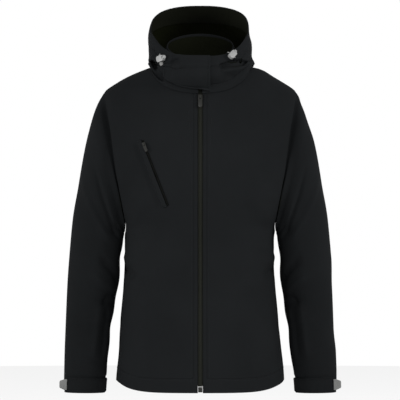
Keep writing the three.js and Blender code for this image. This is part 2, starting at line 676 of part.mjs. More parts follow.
function toGeometry(solid) {
  const mesh = solid.getMesh();
  const geometry = new THREE.BufferGeometry();
  geometry.setAttribute('position', new THREE.Float32BufferAttribute(mesh.vertProperties, 3));
  geometry.setIndex(Array.from(mesh.triVerts));
  geometry.computeVertexNormals();
  return geometry;
}

const shifted = (x, y, z) => new THREE.Matrix4().makeTranslation(x, y, z);

function block(width, height, depth, x, y, z) {
  return toSolid(new THREE.BoxGeometry(width, height, depth), shifted(x, y, z));
}

// Slider body with the arched bridge that carries the pull tab
function sliderGeometry(scale) {
  const s = SLIDER;
  const body = plate(roundedOutline(s.width, s.length, s.corner), s.plate);
  const low = s.lift + s.plate;
  const root = low - s.bridgeRoot;
  const bridge = block(s.bridgeWidth, 2 * s.bridgeHalf, s.bridgeTop - root, 0, 0, (s.bridgeTop + root) / 2);
  const window = block(s.bridgeWidth + 2 * CUT_PAST, 2 * s.windowHalf, s.windowTop - low,
    0, 0, (s.windowTop + low) / 2);
  const solid = toSolid(body, shifted(0, 0, s.lift)).add(bridge).subtract(window);
  return toGeometry(solid).scale(scale, scale, scale);
}

// Pull tab with a round bar under the bridge and a slot that the bridge stands in
function pullGeometry(scale) {
  const p = PULL;
  const half = p.width / 2;
  const outline = new THREE.Shape();
  outline.moveTo(-half, p.barRadius);
  outline.lineTo(-half, -p.length + half);
  outline.absarc(0, -p.length + half, half, Math.PI, 2 * Math.PI, false);
  outline.lineTo(half, p.barRadius);
  const tab = toSolid(plate(outline, p.depth, 7), shifted(0, 0, -p.depth / 2));
  const slotTop = p.barRadius + CUT_PAST;
  const slotHeight = p.slotEnd + slotTop;
  const slot = block(2 * p.slotHalf, slotHeight, p.depth + 2 * CUT_PAST, 0, slotTop - slotHeight / 2, 0);
  const bar = new THREE.CylinderGeometry(p.barRadius, p.barRadius, p.width - 2 * p.barInset, 10);
  const across = new THREE.Matrix4().makeRotationZ(Math.PI / 2);
  return toGeometry(tab.subtract(slot).add(toSolid(bar, across))).scale(scale, scale, scale);
}

function addSlider(name, frame, scale) {
  add(`${name}_slider`, sliderGeometry(scale), 'slider', frame);
  const out = new THREE.Vector3(0, 0, PULL.axis * scale).applyQuaternion(frame.quaternion);
  const pull = { position: frame.position.clone().add(out), quaternion: frame.quaternion };
  add(`${name}_pull`, pullGeometry(scale), 'slider', pull);
}

function buildFrontZip() {
  const rows = [ZIP.low, ...ZIP_ROWS, ZIP.high];
  const strip = wall(frontPoint, frontNormal, [-ZIP.halfWidth, 0, ZIP.halfWidth], rows,
    { outside: -ZIP.recess, inside: ZIP.recess + ZIP.depth });
  add('front_zip', strip, 'zip');
  const up = new THREE.Vector3(0, 0, 1);
  const low = frontPoint(0, RETAINER.h);
  const lowNormal = frontNormal(0, RETAINER.h);
  const outline = roundedOutline(RETAINER.width, RETAINER.height, RETAINER.corner);
  low.addScaledVector(lowNormal, -RETAINER.depth / 2);
  add('zip_retainer', plate(outline, RETAINER.depth), 'slider', seat(low, lowNormal, up));
  const place = frontPoint(0, FRONT_SLIDER.h);
  const normal = frontNormal(0, FRONT_SLIDER.h);
  place.addScaledVector(normal, -ZIP.recess);
  addSlider('front_zip', seat(place, normal, up), FRONT_SLIDER.scale);
}

// Chest pocket point: p along it from its top (0) to its end (1), q across it towards the zip
function pocketPoint(q, p) {
  const dx = POCKET.endX - POCKET.topX;
  const dh = POCKET.endH - POCKET.topH;
  const length = Math.hypot(dx, dh);
  const x = POCKET.topX + p * dx + (q * dh) / length;
  return frontPoint(x, POCKET.topH + p * dh - (q * dx) / length);
}

const pocketNormal = (q, p) => crossNormal(pocketPoint, q, p, 0.5, 0.005);

function buildPocket() {
  const tips = WELT_TIPS;
  const share = (p) => 1 - tips.topShare * (1 - ease(0, tips.topReach, p))
    - tips.endShare * ease(tips.endFrom, 1, p);
  const welt = (s, p) => pocketPoint(mix(POCKET.weltTo, POCKET.outer * share(p), s), p);
  const weltNormal = (s, p) => pocketNormal(mix(POCKET.weltTo, POCKET.outer, s), p);
  add('chest_pocket_welt', wall(welt, weltNormal, [0, 0.34, 0.67, 1], steps(0, 1, 14),
    { mirror: true, outside: POCKET_LIFT + POCKET_WELT, inside: -POCKET_LIFT }), 'shell');
  const zipRows = steps(POCKET.zipStart, POCKET.zipEnd, 14);
  add('chest_pocket_zip', wall(pocketPoint, pocketNormal, [POCKET.zipFrom, POCKET.zipTo], zipRows,
    { mirror: true, outside: POCKET_LIFT + POCKET_ZIP, inside: -POCKET_LIFT }), 'zip');
  const q = (POCKET.zipFrom + POCKET.zipTo) / 2;
  const place = pocketPoint(q, POCKET_SLIDER.along);
  const normal = pocketNormal(q, POCKET_SLIDER.along);
  const up = pocketPoint(q, 0).sub(place);
  place.addScaledVector(normal, POCKET_LIFT + POCKET_WELT + POCKET_SLIDER.gap);
  for (const v of [place, normal, up]) v.x = -v.x;
  addSlider('chest_pocket', seat(place, normal, up), POCKET_SLIDER.scale);
}

// Cuffs

function buildCuff(side) {
  const mirror = side === 'right';
  const round = steps(STRAP.from, STRAP.to, 16);
  const strap = wall(sleevePoint, sleeveNormal, round, steps(STRAP.high, STRAP.low, 2),
    { mirror, outside: STRAP.gap + STRAP.depth, inside: -STRAP.gap });
  add(`cuff_strap_${side}`, strap, 'shell');
  const root = sleevePoint(TAB.turn, TAB.at);
  const normal = sleeveNormal(TAB.turn, TAB.at);
  const along = new THREE.Vector3(1, TAB.back, TAB.rise).normalize();
  const face = along.clone().cross(new THREE.Vector3(0, 0, 1)).normalize();
  root.addScaledVector(normal, TAB.lift);
  const outline = new THREE.Shape();
  const half = TAB.height / 2;
  const middle = TAB.length - TAB.corner;
  const corner = TAB.tip / 2 - TAB.corner;
  outline.moveTo(-TAB.root, -half);
  outline.lineTo(TAB.shoulder, -half);
  outline.absarc(middle, -corner, TAB.corner, -Math.PI / 2, 0, false);
  outline.absarc(middle, corner, TAB.corner, 0, Math.PI / 2, false);
  outline.lineTo(TAB.shoulder, half);
  outline.lineTo(-TAB.root, half);
  const tab = plate(outline, TAB.depth);
  tab.applyMatrix4(new THREE.Matrix4().makeBasis(along, face.clone().cross(along), face).setPosition(root));
  if (mirror) tab.applyMatrix4(new THREE.Matrix4().makeScale(-1, 1, 1));
  add(`cuff_tab_${side}`, facingOut(joined(tab)), 'lock');
}

// Cord locks on the hood: a barrel, its sprung plunger and the elastic cord through both

function barrelGeometry() {
  const l = LOCK;
  const half = l.length / 2;
  const body = plate(roundedOutline(l.length, l.width, l.corner), l.depth, 6);
  const boreLength = l.length - l.wall + CUT_PAST;
  const bore = new THREE.CylinderGeometry(l.bore, l.bore, boreLength, 20);
  const boreMiddle = half + CUT_PAST - boreLength / 2;
  const alongX = new THREE.Matrix4().makeRotationZ(Math.PI / 2).setPosition(boreMiddle, 0, 0);
  const hole = new THREE.CylinderGeometry(CORD.hole, CORD.hole, l.width + 2 * CUT_PAST, 12);
  const notch = block(2 * l.notchDepth, 2 * l.notch, l.depth + 2 * CUT_PAST, half, 0, 0);
  const solid = toSolid(body, shifted(0, 0, -l.depth / 2)).subtract(toSolid(bore, alongX))
    .subtract(toSolid(hole, shifted(CORD.x, 0, 0))).subtract(notch);
  return toGeometry(solid);
}

function plungerGeometry() {
  const p = PLUNGER;
  const length = p.outer - p.inner;
  const pin = new THREE.CylinderGeometry(p.radius, p.radius, length, 20);
  const alongX = new THREE.Matrix4().makeRotationZ(Math.PI / 2).setPosition((p.outer + p.inner) / 2, 0, 0);
  const slotMiddle = (p.slotHigh + p.slotLow) / 2;
  const slot = block(p.slotHigh - p.slotLow, 2 * (p.radius + CUT_PAST), 2 * p.slotHalf, slotMiddle, 0, 0);
  return toGeometry(toSolid(pin, alongX).subtract(slot));
}

// The cord from its tail through the lock's hole, then round and down to the hood
function cordGeometry(lift, hasEnd) {
  const half = LOCK.width / 2;
  const local = (y, z) => new THREE.Vector3(CORD.x, y, z);
  const route = new THREE.CatmullRomCurve3([
    local(-half - CORD.tail, 0), local(-half + CORD.inset, 0), local(0, 0), local(half - CORD.inset, 0),
    local(half + CORD.bendOut, -CORD.bendDip), local(half + CORD.dive, -lift + CORD.diveTo),
  ], false, 'catmullrom', 0.5);
  const circle = new THREE.Shape();
  circle.absarc(0, 0, CORD.radius, 0, 2 * Math.PI, false);
  const cord = new THREE.ExtrudeGeometry(circle,
    { steps: CORD.steps, curveSegments: 4, extrudePath: route, bevelEnabled: false });
  if (!hasEnd) return cord;
  const end = new THREE.LatheGeometry(CORD_END.map(([r, y]) => new THREE.Vector2(r, -y)), 14);
  end.translate(CORD.x, -half - CORD.tail + CORD.inset, 0);
  return toGeometry(toSolid(facingOut(joined(cord))).add(toSolid(facingOut(joined(end)))));
}

function buildLock(lock) {
  const point = hoodPoint(lock.turn, lock.at);
  const normal = hoodNormal(lock.turn, lock.at);
  const tilt = radians(lock.tilt);
  const up = new THREE.Vector3(-Math.sin(tilt), 0, Math.cos(tilt));
  const lift = LOCK.lift + LOCK.depth / 2;
  const frame = seat(point.clone().addScaledVector(normal, lift), normal, up);
  add(`cord_lock_${lock.side}`, barrelGeometry(), 'lock', frame);
  add(`cord_plunger_${lock.side}`, plungerGeometry(), 'lock', frame);
  add(`hood_cord_${lock.side}`, cordGeometry(lift, lock.cordEnd), 'cord', frame);
}

buildTorso();
buildSleeve('right');
buildSleeve('left');
buildCollar();
buildHood();
buildChin();
buildFrontZip();
buildPocket();
buildCuff('right');
buildCuff('left');
LOCKS.forEach(buildLock);

export default jacket;
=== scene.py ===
"""Women's softshell jacket: cloth with its folds and sewing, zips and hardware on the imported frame.

The panels' forms repeat part.mjs: millimetres, heights from the cuffs' lower edge, the wearer's left side,
which is mirrored for the right.
"""
import math

import bmesh
import bpy
import numpy as np
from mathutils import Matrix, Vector


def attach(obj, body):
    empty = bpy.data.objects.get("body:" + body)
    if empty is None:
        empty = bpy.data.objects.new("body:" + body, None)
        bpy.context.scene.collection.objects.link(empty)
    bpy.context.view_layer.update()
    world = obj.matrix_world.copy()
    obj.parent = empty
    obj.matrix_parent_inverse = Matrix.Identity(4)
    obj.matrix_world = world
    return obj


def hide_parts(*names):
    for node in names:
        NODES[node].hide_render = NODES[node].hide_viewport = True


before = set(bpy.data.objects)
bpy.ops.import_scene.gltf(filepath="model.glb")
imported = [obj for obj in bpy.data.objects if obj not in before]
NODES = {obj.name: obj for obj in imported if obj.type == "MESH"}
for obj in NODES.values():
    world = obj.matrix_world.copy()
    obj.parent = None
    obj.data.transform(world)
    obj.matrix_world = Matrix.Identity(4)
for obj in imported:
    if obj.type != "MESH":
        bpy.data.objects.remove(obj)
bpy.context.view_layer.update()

# ---------------------------------------------------------------- the cloth's form, in millimetres
CLOTH, SEAM = 2.0, 0.3
SIDES = (("right", -1), ("left", 1))
# The frame's origin above the cuffs, and the power of the sections' rounding
HELD_HEIGHT = 660.0
ROUNDING = 2.4
HEM_FRONT, HEM_SIDE, HEM_SHARPNESS = 7.0, 28.0, 5
# The side seams' place round the body, and half a seam's gap there, in degrees
SIDE_SEAM_ANGLE, SEAM_TURN = 70.0, 0.06
ARM_MIDDLE, ARM_HALF, ARM_ANGLE, ARM_LOW = 486.0, 145.0, 32.0, 373.0
SHOULDER_HEIGHT = 631.0
NECK_HALF, NECK_FRONT, NECK_SIDE, NECK_BACK = 80.0, 640.0, 690.0, 684.0
ZIP_HALF_GAP = 5.2


def table(names, *rows):
    """Rows of sizes as one array for each name."""
    return dict(zip(names.split(), np.array(rows, float).T))


TORSO = table(
    "h half front back mid",
    (0, 177.5, 131, 128, 0), (35, 176, 129, 127, 0), (95, 170, 124, 122, 0),
    (160, 164.6, 118, 114, 0), (230, 158.4, 113, 104, 0), (295, 155.4, 113, 99, 0),
    (341, 157, 119, 101, 0), (386, 174, 126, 105, 0), (421, 188, 129, 109, 0),
    (475, 204, 125, 112, 1), (530, 210, 111, 108, 3), (570, 210, 97, 100, 5),
    (600, 208, 84, 91, 7), (618, 206, 76, 84, 8), (631, 201, 70, 78, 9),
    (652, 172, 64, 70, 10), (665, 148, 62, 65, 10), (677, 119.5, 61, 61, 10),
    (685, 98, 60, 58, 10), (690, 80, 59, 56, 10),
)
SLEEVE = table(
    "at outX outH inX inH front back mid",
    (0, 201, 631, 158.4, 341, 70, 72, 4), (1, 213, 611, 158.9, 339.2, 72, 74, 4),
    (2, 225.6, 579, 159.4, 337, 72, 75, 4), (3, 235.8, 541, 160, 334, 71, 74, 4),
    (4, 247.2, 490, 160.8, 329, 69, 72, 4), (5, 259.2, 433, 162.4, 318, 66, 69, 5),
    (6, 267.4, 375, 165.2, 292, 63, 66, 7), (7, 274.3, 300, 168.8, 248, 59, 62, 9),
    (8, 279.8, 225, 175.2, 192, 54, 57, 7), (9, 282.6, 150, 183.6, 132, 48, 51, -1),
    (10, 284.6, 84, 192, 74, 41, 43, -12), (11, 285.3, 35, 197, 31, 37, 38, -20),
    (12, 284, 2.6, 199.2, 2, 35, 36, -25),
)
SLEEVE_FOLDS = table(
    "at turn along round depth",
    (5.1, 20, 0.75, 34, 4), (7.9, 150, 0.45, 40, 5), (8.9, 185, 0.4, 45, 4), (6.3, 205, 0.5, 40, 4),
)
HOOD_MIDDLE = 20.0
HOOD = table(
    "at half front back hFront hSide hBack sag",
    (0, 104, 70, 55, 625, 685, 668, 1), (1, 104, 88, 66, 645, 688, 628, 1.4),
    (2, 103.5, 94, 82, 664, 691, 590, 1.8), (3, 102.5, 96, 115, 680, 694, 566, 2),
    (4, 107.5, 100, 143, 685, 699, 586, 2), (5, 108.5, 101, 156, 690, 710, 640, 1.8),
    (6, 109, 101, 152, 694, 723, 700, 1.5), (7, 108.5, 100, 132, 697.5, 737, 762, 1.2),
    (8, 106.5, 98, 107, 700.5, 748, 797, 0.8), (9, 104, 96, 90, 703, 757, 819.4, 0.62),
)
HOOD_RIM, HOOD_RIM_FLATNESS = 9.0, 3
HOOD_PANEL_ANGLE = 148.0
HOOD_LIFT_EDGE, HOOD_LIFT = 2.9, 4.8
CHIN_FROM, CHIN_TO, CHIN_STEP = -39.5, 8.0, -27.0
CHIN_LOW_OUTER, CHIN_LOW_CENTRE, CHIN_HIGH_OUTER, CHIN_HIGH_CENTRE = 1.3, 0.55, 4.1, 8.8
LAYER_GAP = 1.1
COLLAR_INSET, COLLAR_MIDDLE = 1.2, 10.0
COLLAR_HALF, COLLAR_FRONT, COLLAR_BACK = 71.0, 66.0, 58.0
COLLAR_H_FRONT, COLLAR_H_BACK = 699.0, 757.0


def sin_cos(turn):
    return np.sin(np.radians(turn)), np.cos(np.radians(turn))


def mix(a, b, t):
    return a + (b - a) * t


def ease(low, high, value):
    t = np.clip((np.asarray(value, float) - low) / (high - low), 0, 1)
    return t * t * (3 - 2 * t)


def bend(value, power):
    return np.sign(value) * np.abs(value) ** power


def unit(v):
    return v / np.maximum(np.linalg.norm(v, axis=-1, keepdims=True), 1e-12)


def xyz(x, y, z):
    return np.stack(np.broadcast_arrays(x, y, z), axis=-1).astype(float)


def read(rows, by, key, at):
    """One column of a table at any place, on a smooth curve that never overshoots its rows."""
    xs, ys = rows[by], rows[key]
    at = np.clip(np.asarray(at, float), xs[0], xs[-1])
    slope = np.diff(ys) / np.diff(xs)
    tangent = np.zeros_like(ys)
    tangent[0], tangent[-1] = slope[0], slope[-1]
    before, after = slope[:-1], slope[1:]
    same = before * after > 0
    tangent[1:-1] = np.where(same, 2 * before * after / np.where(same, before + after, 1), 0)
    i = np.searchsorted(xs[1:-1], at, side="left")
    span = xs[i + 1] - xs[i]
    t = (at - xs[i]) / span
    rise = t * t * (3 - 2 * t)
    return (mix(ys[i], ys[i + 1], rise)
            + span * (t * (1 - t) ** 2 * tangent[i] - t * t * (1 - t) * tangent[i + 1]))


# Torso
def torso_point(angle, h):
    """A place on the body at a height; the angle is 0 in front, 90 at the side and 180 behind."""
    half = read(TORSO, "h", "half", h)
    sin, cos = sin_cos(angle)
    depth = np.where(cos > 0, read(TORSO, "h", "front", h), read(TORSO, "h", "back", h))
    x = half * bend(sin, 2 / ROUNDING)
    y = read(TORSO, "h", "mid", h) - depth * bend(cos, 2 / ROUNDING)
    return xyz(x, y, h)


def angle_at(x, h, back=False):
    share = np.clip(np.abs(x) / read(TORSO, "h", "half", h), 0, 1)
    angle = np.degrees(np.arcsin(share ** (ROUNDING / 2)))
    return np.where(back, 180 - angle, angle)


def hem_lift(angle, t):
    hem = mix(HEM_FRONT, HEM_SIDE, np.abs(sin_cos(angle)[0]) ** HEM_SHARPNESS)
    return hem * (1 - ease(0, 0.3, t)) * (1 - t)


def panel_edge(h, back):
    """The angle of a panel's outer edge: side seam, armhole and shoulder seam."""
    seam, gap, arm = (180 - SIDE_SEAM_ANGLE, SEAM_TURN, -ARM_ANGLE) if back else (
        SIDE_SEAM_ANGLE, -SEAM_TURN, ARM_ANGLE)
    share = np.sqrt(np.maximum(0, 1 - ((h - ARM_MIDDLE) / ARM_HALF) ** 2))
    upper = np.where(h < SHOULDER_HEIGHT, 90 - share * arm, 90 + gap)
    return np.where(h <= ARM_LOW, seam + gap, upper)


def neckline(s, back):
    sin, cos = sin_cos(90 * s)
    x = np.maximum(NECK_HALF * sin, 0 if back else ZIP_HALF_GAP)
    h = mix(NECK_BACK if back else NECK_FRONT, NECK_SIDE, 1 - cos)
    end = s > 0.999
    return (np.where(end, 90 + (SEAM_TURN if back else -SEAM_TURN), angle_at(x, h, back)),
            np.where(end, NECK_SIDE, h))


def panel_point(s, row, back):
    """Front or back panel: s from the centre (0) to the side (1), row the height at the side."""
    t = row / NECK_SIDE
    side_angle = panel_edge(np.maximum(row, HEM_SIDE), back)
    top_h = NECK_BACK if back else NECK_FRONT

    def centre(h):
        return 180 + 0 * h if back else angle_at(ZIP_HALF_GAP, h)

    level = mix(mix(0, top_h, t), row, s)
    top_angle, top_row = neckline(s, back)
    flat_angle = mix(centre(top_h + 0 * s), panel_edge(NECK_SIDE + 0 * s, back), s)
    flat_h = mix(top_h, NECK_SIDE, s)
    pull = ease(0.9, 1, t)
    angle = mix(centre(level), side_angle, s) + pull * (top_angle - flat_angle)
    h = level + pull * (top_row - flat_h)
    return torso_point(angle, h + hem_lift(angle, t))


def side_point(s, row):
    """Side panel: s from its front seam (-1) to its back seam (1)."""
    reach = 90 - SIDE_SEAM_ANGLE
    angle = 90 + s * (reach - SEAM_TURN)
    share = np.sqrt(1 - ((s * reach) / ARM_ANGLE) ** 2)
    top = ARM_MIDDLE - ARM_HALF * share
    pull = ease(0.5, 1, row / ARM_LOW) * (1 - np.abs(s) ** 12)
    return torso_point(angle, row + hem_lift(angle, row / NECK_SIDE) + pull * (top - ARM_LOW))


def front_panel(s, h):
    return panel_point(s, h, False)


def back_panel(s, h):
    """The whole back, s from the wearer's right (-1) to the left (1)."""
    return panel_point(np.abs(s), h, True) * xyz(np.where(s < 0, -1, 1), 1, 1)


def torso_normal(p):
    h = np.clip(p[..., 2], 1, NECK_SIDE - 0.5)
    back = p[..., 1] > read(TORSO, "h", "mid", h)
    angle = np.clip(angle_at(p[..., 0], h, back), 0.2, 179.8)
    along = torso_point(angle + 0.15, h) - torso_point(angle - 0.15, h)
    up = torso_point(angle, h + 0.4) - torso_point(angle, h - 0.4)
    normal = unit(np.cross(up, along))
    here = torso_point(angle, h)
    core = xyz(0 * h, 0 * h, np.minimum(h, 560))
    facing = np.sum(normal * (here - core), axis=-1, keepdims=True)
    normal = np.where(facing < 0, -normal, normal)
    normal[..., 0] *= np.where(p[..., 0] < 0, -1, 1)
    return normal


# Sleeves
def armhole_point(turn):
    sin, cos = sin_cos(turn)
    return torso_point(90 - sin * ARM_ANGLE, ARM_MIDDLE + ARM_HALF * cos)


def sleeve_section(turn, at):
    """A section of the sleeve: turn 0 outer, 90 front, 180 inner, 270 back; at 0 shoulder to 12 cuff."""
    sin, cos = sin_cos(turn)
    reach = bend(cos, 0.9)
    out_x, in_x = read(SLEEVE, "at", "outX", at), read(SLEEVE, "at", "inX", at)
    out_h, in_h = read(SLEEVE, "at", "outH", at), read(SLEEVE, "at", "inH", at)
    depth = np.where(sin > 0, read(SLEEVE, "at", "front", at), read(SLEEVE, "at", "back", at))
    return xyz((out_x + in_x) / 2 + (out_x - in_x) / 2 * reach,
               read(SLEEVE, "at", "mid", at) - depth * bend(sin, 0.9),
               (out_h + in_h) / 2 + (out_h - in_h) / 2 * reach)


def sleeve_point(turn, at):
    """The sleeve, with its upper end brought on to the armhole."""
    point = sleeve_section(turn, at)
    keep = (1 - ease(0, 2.2, at))[..., None]
    under = (1 - sin_cos(turn)[1]) / 2
    edge = armhole_point(turn)
    edge = edge + torso_normal(edge) * (0.8 * under ** 3)[..., None]
    return point + (edge - sleeve_section(turn, 0 * at)) * keep


def sleeve_normal(turn, at):
    along = sleeve_point(turn, at + 0.04) - sleeve_point(turn, np.maximum(at - 0.04, 0))
    around = sleeve_point(turn + 1.5, at) - sleeve_point(turn - 1.5, at)
    return unit(np.cross(around, along))


def sleeve_fold(turn, at):
    depth = 0 * at
    for i in range(len(SLEEVE_FOLDS["at"])):
        f = {k: v[i] for k, v in SLEEVE_FOLDS.items()}
        away = turn_from(turn, f["turn"])
        depth = depth + f["depth"] * np.exp(-(away / f["round"]) ** 2 - ((at - f["at"]) / f["along"]) ** 2)
    return depth


# Collar and hood
def neck_point(turn):
    sin, cos = sin_cos(turn)
    back = cos < 0
    h = mix(np.where(back, NECK_BACK, NECK_FRONT), NECK_SIDE, 1 - np.abs(cos))
    point = torso_point(angle_at(NECK_HALF * np.abs(sin), h, back), h)
    point[..., 0] *= np.where(sin < 0, -1, 1)
    return point


def collar_point(turn, t):
    sin, cos = sin_cos(turn)
    base = neck_point(turn) + xyz(-COLLAR_INSET * sin, COLLAR_INSET * cos, SEAM + 0 * sin)
    reach = np.where(cos > 0, COLLAR_FRONT, COLLAR_BACK)
    high = mix(COLLAR_H_FRONT, COLLAR_H_BACK, (1 - cos) / 2)
    top = xyz(COLLAR_HALF * sin, COLLAR_MIDDLE - reach * cos, high)
    return base + (top - base) * t[..., None]


def clear_of_torso(point, lift, back):
    """The point, or where it is nearer to the body than lift, the place above it at that height."""
    h = np.minimum(point[..., 2], NECK_SIDE - 0.5)
    below = torso_point(angle_at(point[..., 0], h, back), h)
    below[..., 0] *= np.where(point[..., 0] < 0, -1, 1)
    normal = torso_normal(below)
    height = np.sum((point - below) * normal, axis=-1)
    return point + normal * np.maximum(lift - height, 0)[..., None]


def hood_point(turn, at):
    """The hood: turn 0 in front to 180 behind, at 0 for its lower edge to 9 for its rim."""
    sin, cos = sin_cos(turn)
    front = cos > 0

    def get(key):
        return read(HOOD, "at", key, at)

    x = get("half") * bend(sin, 2 / ROUNDING)
    rim = 1 - np.abs(sin) ** HOOD_RIM_FLATNESS
    share = np.where(front, mix(cos, rim, at / HOOD_RIM), np.abs(cos) ** get("sag"))
    h = get("hSide") + (np.where(front, get("hFront"), get("hBack")) - get("hSide")) * share
    reach = np.where(front, -get("front"), get("back")) * np.abs(cos) ** (2 / ROUNDING)
    on_body = torso_point(angle_at(x, h, ~front), np.minimum(h, NECK_SIDE - 0.5))
    y = mix(on_body[..., 1], HOOD_MIDDLE + reach, ease(0, 2, at))
    lift = mix(HOOD_LIFT_EDGE, HOOD_LIFT, ease(0, 0.35, at))
    return clear_of_torso(xyz(x, y, h), lift, ~front)


def hood_normal(turn, at):
    along = hood_point(turn + 0.8, at) - hood_point(turn - 0.8, at)
    up = hood_point(turn, np.minimum(at + 0.12, HOOD_RIM)) - hood_point(turn, np.maximum(at - 0.12, 0))
    return unit(np.cross(along, up))


def chin_place(s, t):
    """The hood's own turn and row under a place on the chin flap."""
    turn = mix(CHIN_FROM, CHIN_TO, s)
    rise = ease(CHIN_STEP - 4, CHIN_STEP + 5, turn)
    low = mix(CHIN_LOW_OUTER, CHIN_LOW_CENTRE, s)
    return turn, mix(low, mix(CHIN_HIGH_OUTER, CHIN_HIGH_CENTRE, rise), t)


def chin_point(s, t):
    turn, at = chin_place(s, t)
    bridge = 1.5 * np.exp(-((at - 3) / 0.9) ** 2)
    return hood_point(turn, at) + hood_normal(turn, at) * bridge[..., None]


# Fronts as seen from the front
def front_point(x, h):
    low = torso_point(angle_at(x, np.minimum(h, NECK_FRONT)), np.minimum(h, NECK_FRONT))
    share = np.maximum(h - NECK_FRONT, 0) / (COLLAR_H_FRONT - NECK_FRONT)
    y = mix(low[..., 1], COLLAR_MIDDLE - COLLAR_FRONT, share)
    return xyz(x, y, h)


def front_normal(x, h):
    across = front_point(x + 0.5, h) - front_point(x - 0.5, h)
    up = front_point(x, h + 1) - front_point(x, h - 1)
    return unit(np.cross(across, up))


def numeric_normal(surface, du, dv):
    def normal(u, v):
        along = surface(u + du, v) - surface(u - du, v)
        up = surface(u, v + dv) - surface(u, v - dv)
        return unit(np.cross(along, up))
    return normal


# ---------------------------------------------------------------- meshes
# How much thicker a facing is than the cloth, over what share of the rows it steps in, and the width in mm
# of the dip in the cloth at a seam
FACING_DEPTH, FACING_STEP, DIP_WIDTH = 0.7, 0.008, 1.3
# What "sewn" says of cloth that is nowhere near a sewn line, in mm
UNSEWN = 50.0


def to_frame(points):
    """Millimetres with heights from the cuffs, to metres in the row frame."""
    return (points - np.array([0, 0, HELD_HEIGHT])) / 1000.0


def link(name, data):
    obj = bpy.data.objects.new(name, data)
    bpy.context.scene.collection.objects.link(obj)
    return obj


def new_object(name, verts, faces, slot, materials, smooth=True):
    mesh = bpy.data.meshes.new(name)
    mesh.from_pydata(np.asarray(verts, float).tolist(), [], [list(map(int, f)) for f in faces])
    mesh.update()
    if smooth:
        mesh.polygons.foreach_set("use_smooth", [True] * len(mesh.polygons))
    for m in materials:
        mesh.materials.append(m)
    obj = link(name, mesh)
    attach(obj, "jacket")
    return obj


def places(low, high, count, edge=(0.0, 0.0)):
    """Evenly spaced parameters with three more close to each end, edge being 1 mm there."""
    inner = np.linspace(low, high, count + 1)
    extra = []
    for end, one, sign in ((low, edge[0], 1), (high, edge[1], -1)):
        if one > 0:
            extra += [end + sign * one * mm for mm in (0.5, 1.2, 2.2)]
    both = np.unique(np.concatenate([inner, extra]))
    keep = np.concatenate([[True], np.diff(both) > 1e-5])
    return both[keep]


def arc(grid, axis=0):
    """The length along a grid or line of points, from its first, in mm."""
    step = np.linalg.norm(np.diff(grid, axis=axis), axis=-1)
    total = np.cumsum(step, axis=axis)
    pad = np.zeros_like(np.take(total, [0], axis=axis))
    return np.concatenate([pad, total], axis=axis)


# The outer face of each cloth piece in mm, its normals and its measures both ways
GRIDS = {}


def wall_faces(rows, cols, closed):
    """The outer faces, the inner faces and the rims of a wall between two grids of points."""
    count = rows * cols
    ids = np.arange(count).reshape(rows, cols)
    if closed:
        ids = np.concatenate([ids, ids[:, :1]], axis=1)
    outer = np.stack([ids[:-1, :-1], ids[:-1, 1:], ids[1:, 1:], ids[1:, :-1]], -1).reshape(-1, 4)
    inner = outer[:, [0, 3, 2, 1]] + count

    def rim(line, flip):
        quads = np.stack([line[:-1], line[:-1] + count, line[1:] + count, line[1:]], -1)
        return quads[:, ::-1] if flip else quads

    rims = [rim(ids[0], False), rim(ids[-1], True)]
    if not closed:
        rims += [rim(ids[:, 0], True), rim(ids[:, -1], False)]
    return outer, inner, np.concatenate(rims)


def shell(name, surface, normal, us, vs, node=None, outside=0.0, inside=CLOTH, closed=False, mirror=False,
          relief=None, dip=1.0, dip_sides="udlr", inset=None, materials=(), slot="shell", facing=0.0):
    """A cloth wall on a surface. relief moves the whole wall along its normals, dip sinks the outer face at
    its seams, inset is the distance in mm from the sewn line, which the cloth's material reads, and facing
    is the row from which a facing lines the upper edge inside."""
    flip = np.array([-1 if mirror else 1, 1, 1])
    u, v = np.meshgrid(us, vs)
    base, n = surface(u, v), normal(u, v)
    across, up = arc(base, 1), arc(base, 0)
    to_edge = {"l": across, "r": across[:, -1:] - across, "d": up, "u": up[-1:, :] - up}
    moved = base if relief is None else base + n * relief(u, v, base)[..., None]
    edge = np.min([to_edge[side] for side in dip_sides], axis=0)
    outer = (moved + n * (outside - dip * np.exp(-(edge / DIP_WIDTH) ** 2))[..., None]) * flip
    depth, lining = np.full(u.shape, inside), np.ones(u.shape, int)
    if facing:
        step = FACING_STEP * (vs[-1] - vs[0])
        depth = inside + FACING_DEPTH * ease(facing - step, facing, v)
        lining = np.where(v > facing, len(materials) - 1, 1)
    inner = (moved - n * depth[..., None]) * flip
    GRIDS[name.replace("_cloth", "")] = (outer, n * flip, across, up)

    faces = wall_faces(*u.shape, closed)
    kinds = np.concatenate([0 * faces[0][:, 0], lining[1:, 0 if closed else 1:].ravel(), 0 * faces[2][:, 0]])
    faces = np.concatenate(faces)[:, ::-1 if mirror else 1]
    verts = to_frame(np.concatenate([outer.reshape(-1, 3), inner.reshape(-1, 3)]))
    obj = new_object(name, verts, faces, slot, materials)
    mesh = obj.data
    mesh.polygons.foreach_set("material_index", kinds.astype(np.int32))
    uv = np.stack([across, up], -1).reshape(-1, 2) / 1000.0
    loops = np.zeros(len(mesh.loops), np.int32)
    mesh.loops.foreach_get("vertex_index", loops)
    layer = mesh.uv_layers.new(name="UVMap")
    layer.data.foreach_set("uv", np.concatenate([uv, uv])[loops].astype(np.float32).ravel())
    sewn = np.full((2, *u.shape), UNSEWN)
    if inset:
        sewn[0] = inset(*(to_edge[side] for side in "lrdu"))
    mesh.attributes.new("sewn", "FLOAT", "POINT").data.foreach_set("value", sewn.ravel().astype(np.float32))
    if node:
        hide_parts(node)
    return obj


# ---------------------------------------------------------------- materials
def feed(tree, made, inputs):
    """Each input, by name or number, takes a value or another node's output."""
    for key, value in inputs.items():
        if isinstance(value, bpy.types.NodeSocket):
            tree.links.new(value, made.inputs[key])
        else:
            made.inputs[key].default_value = value


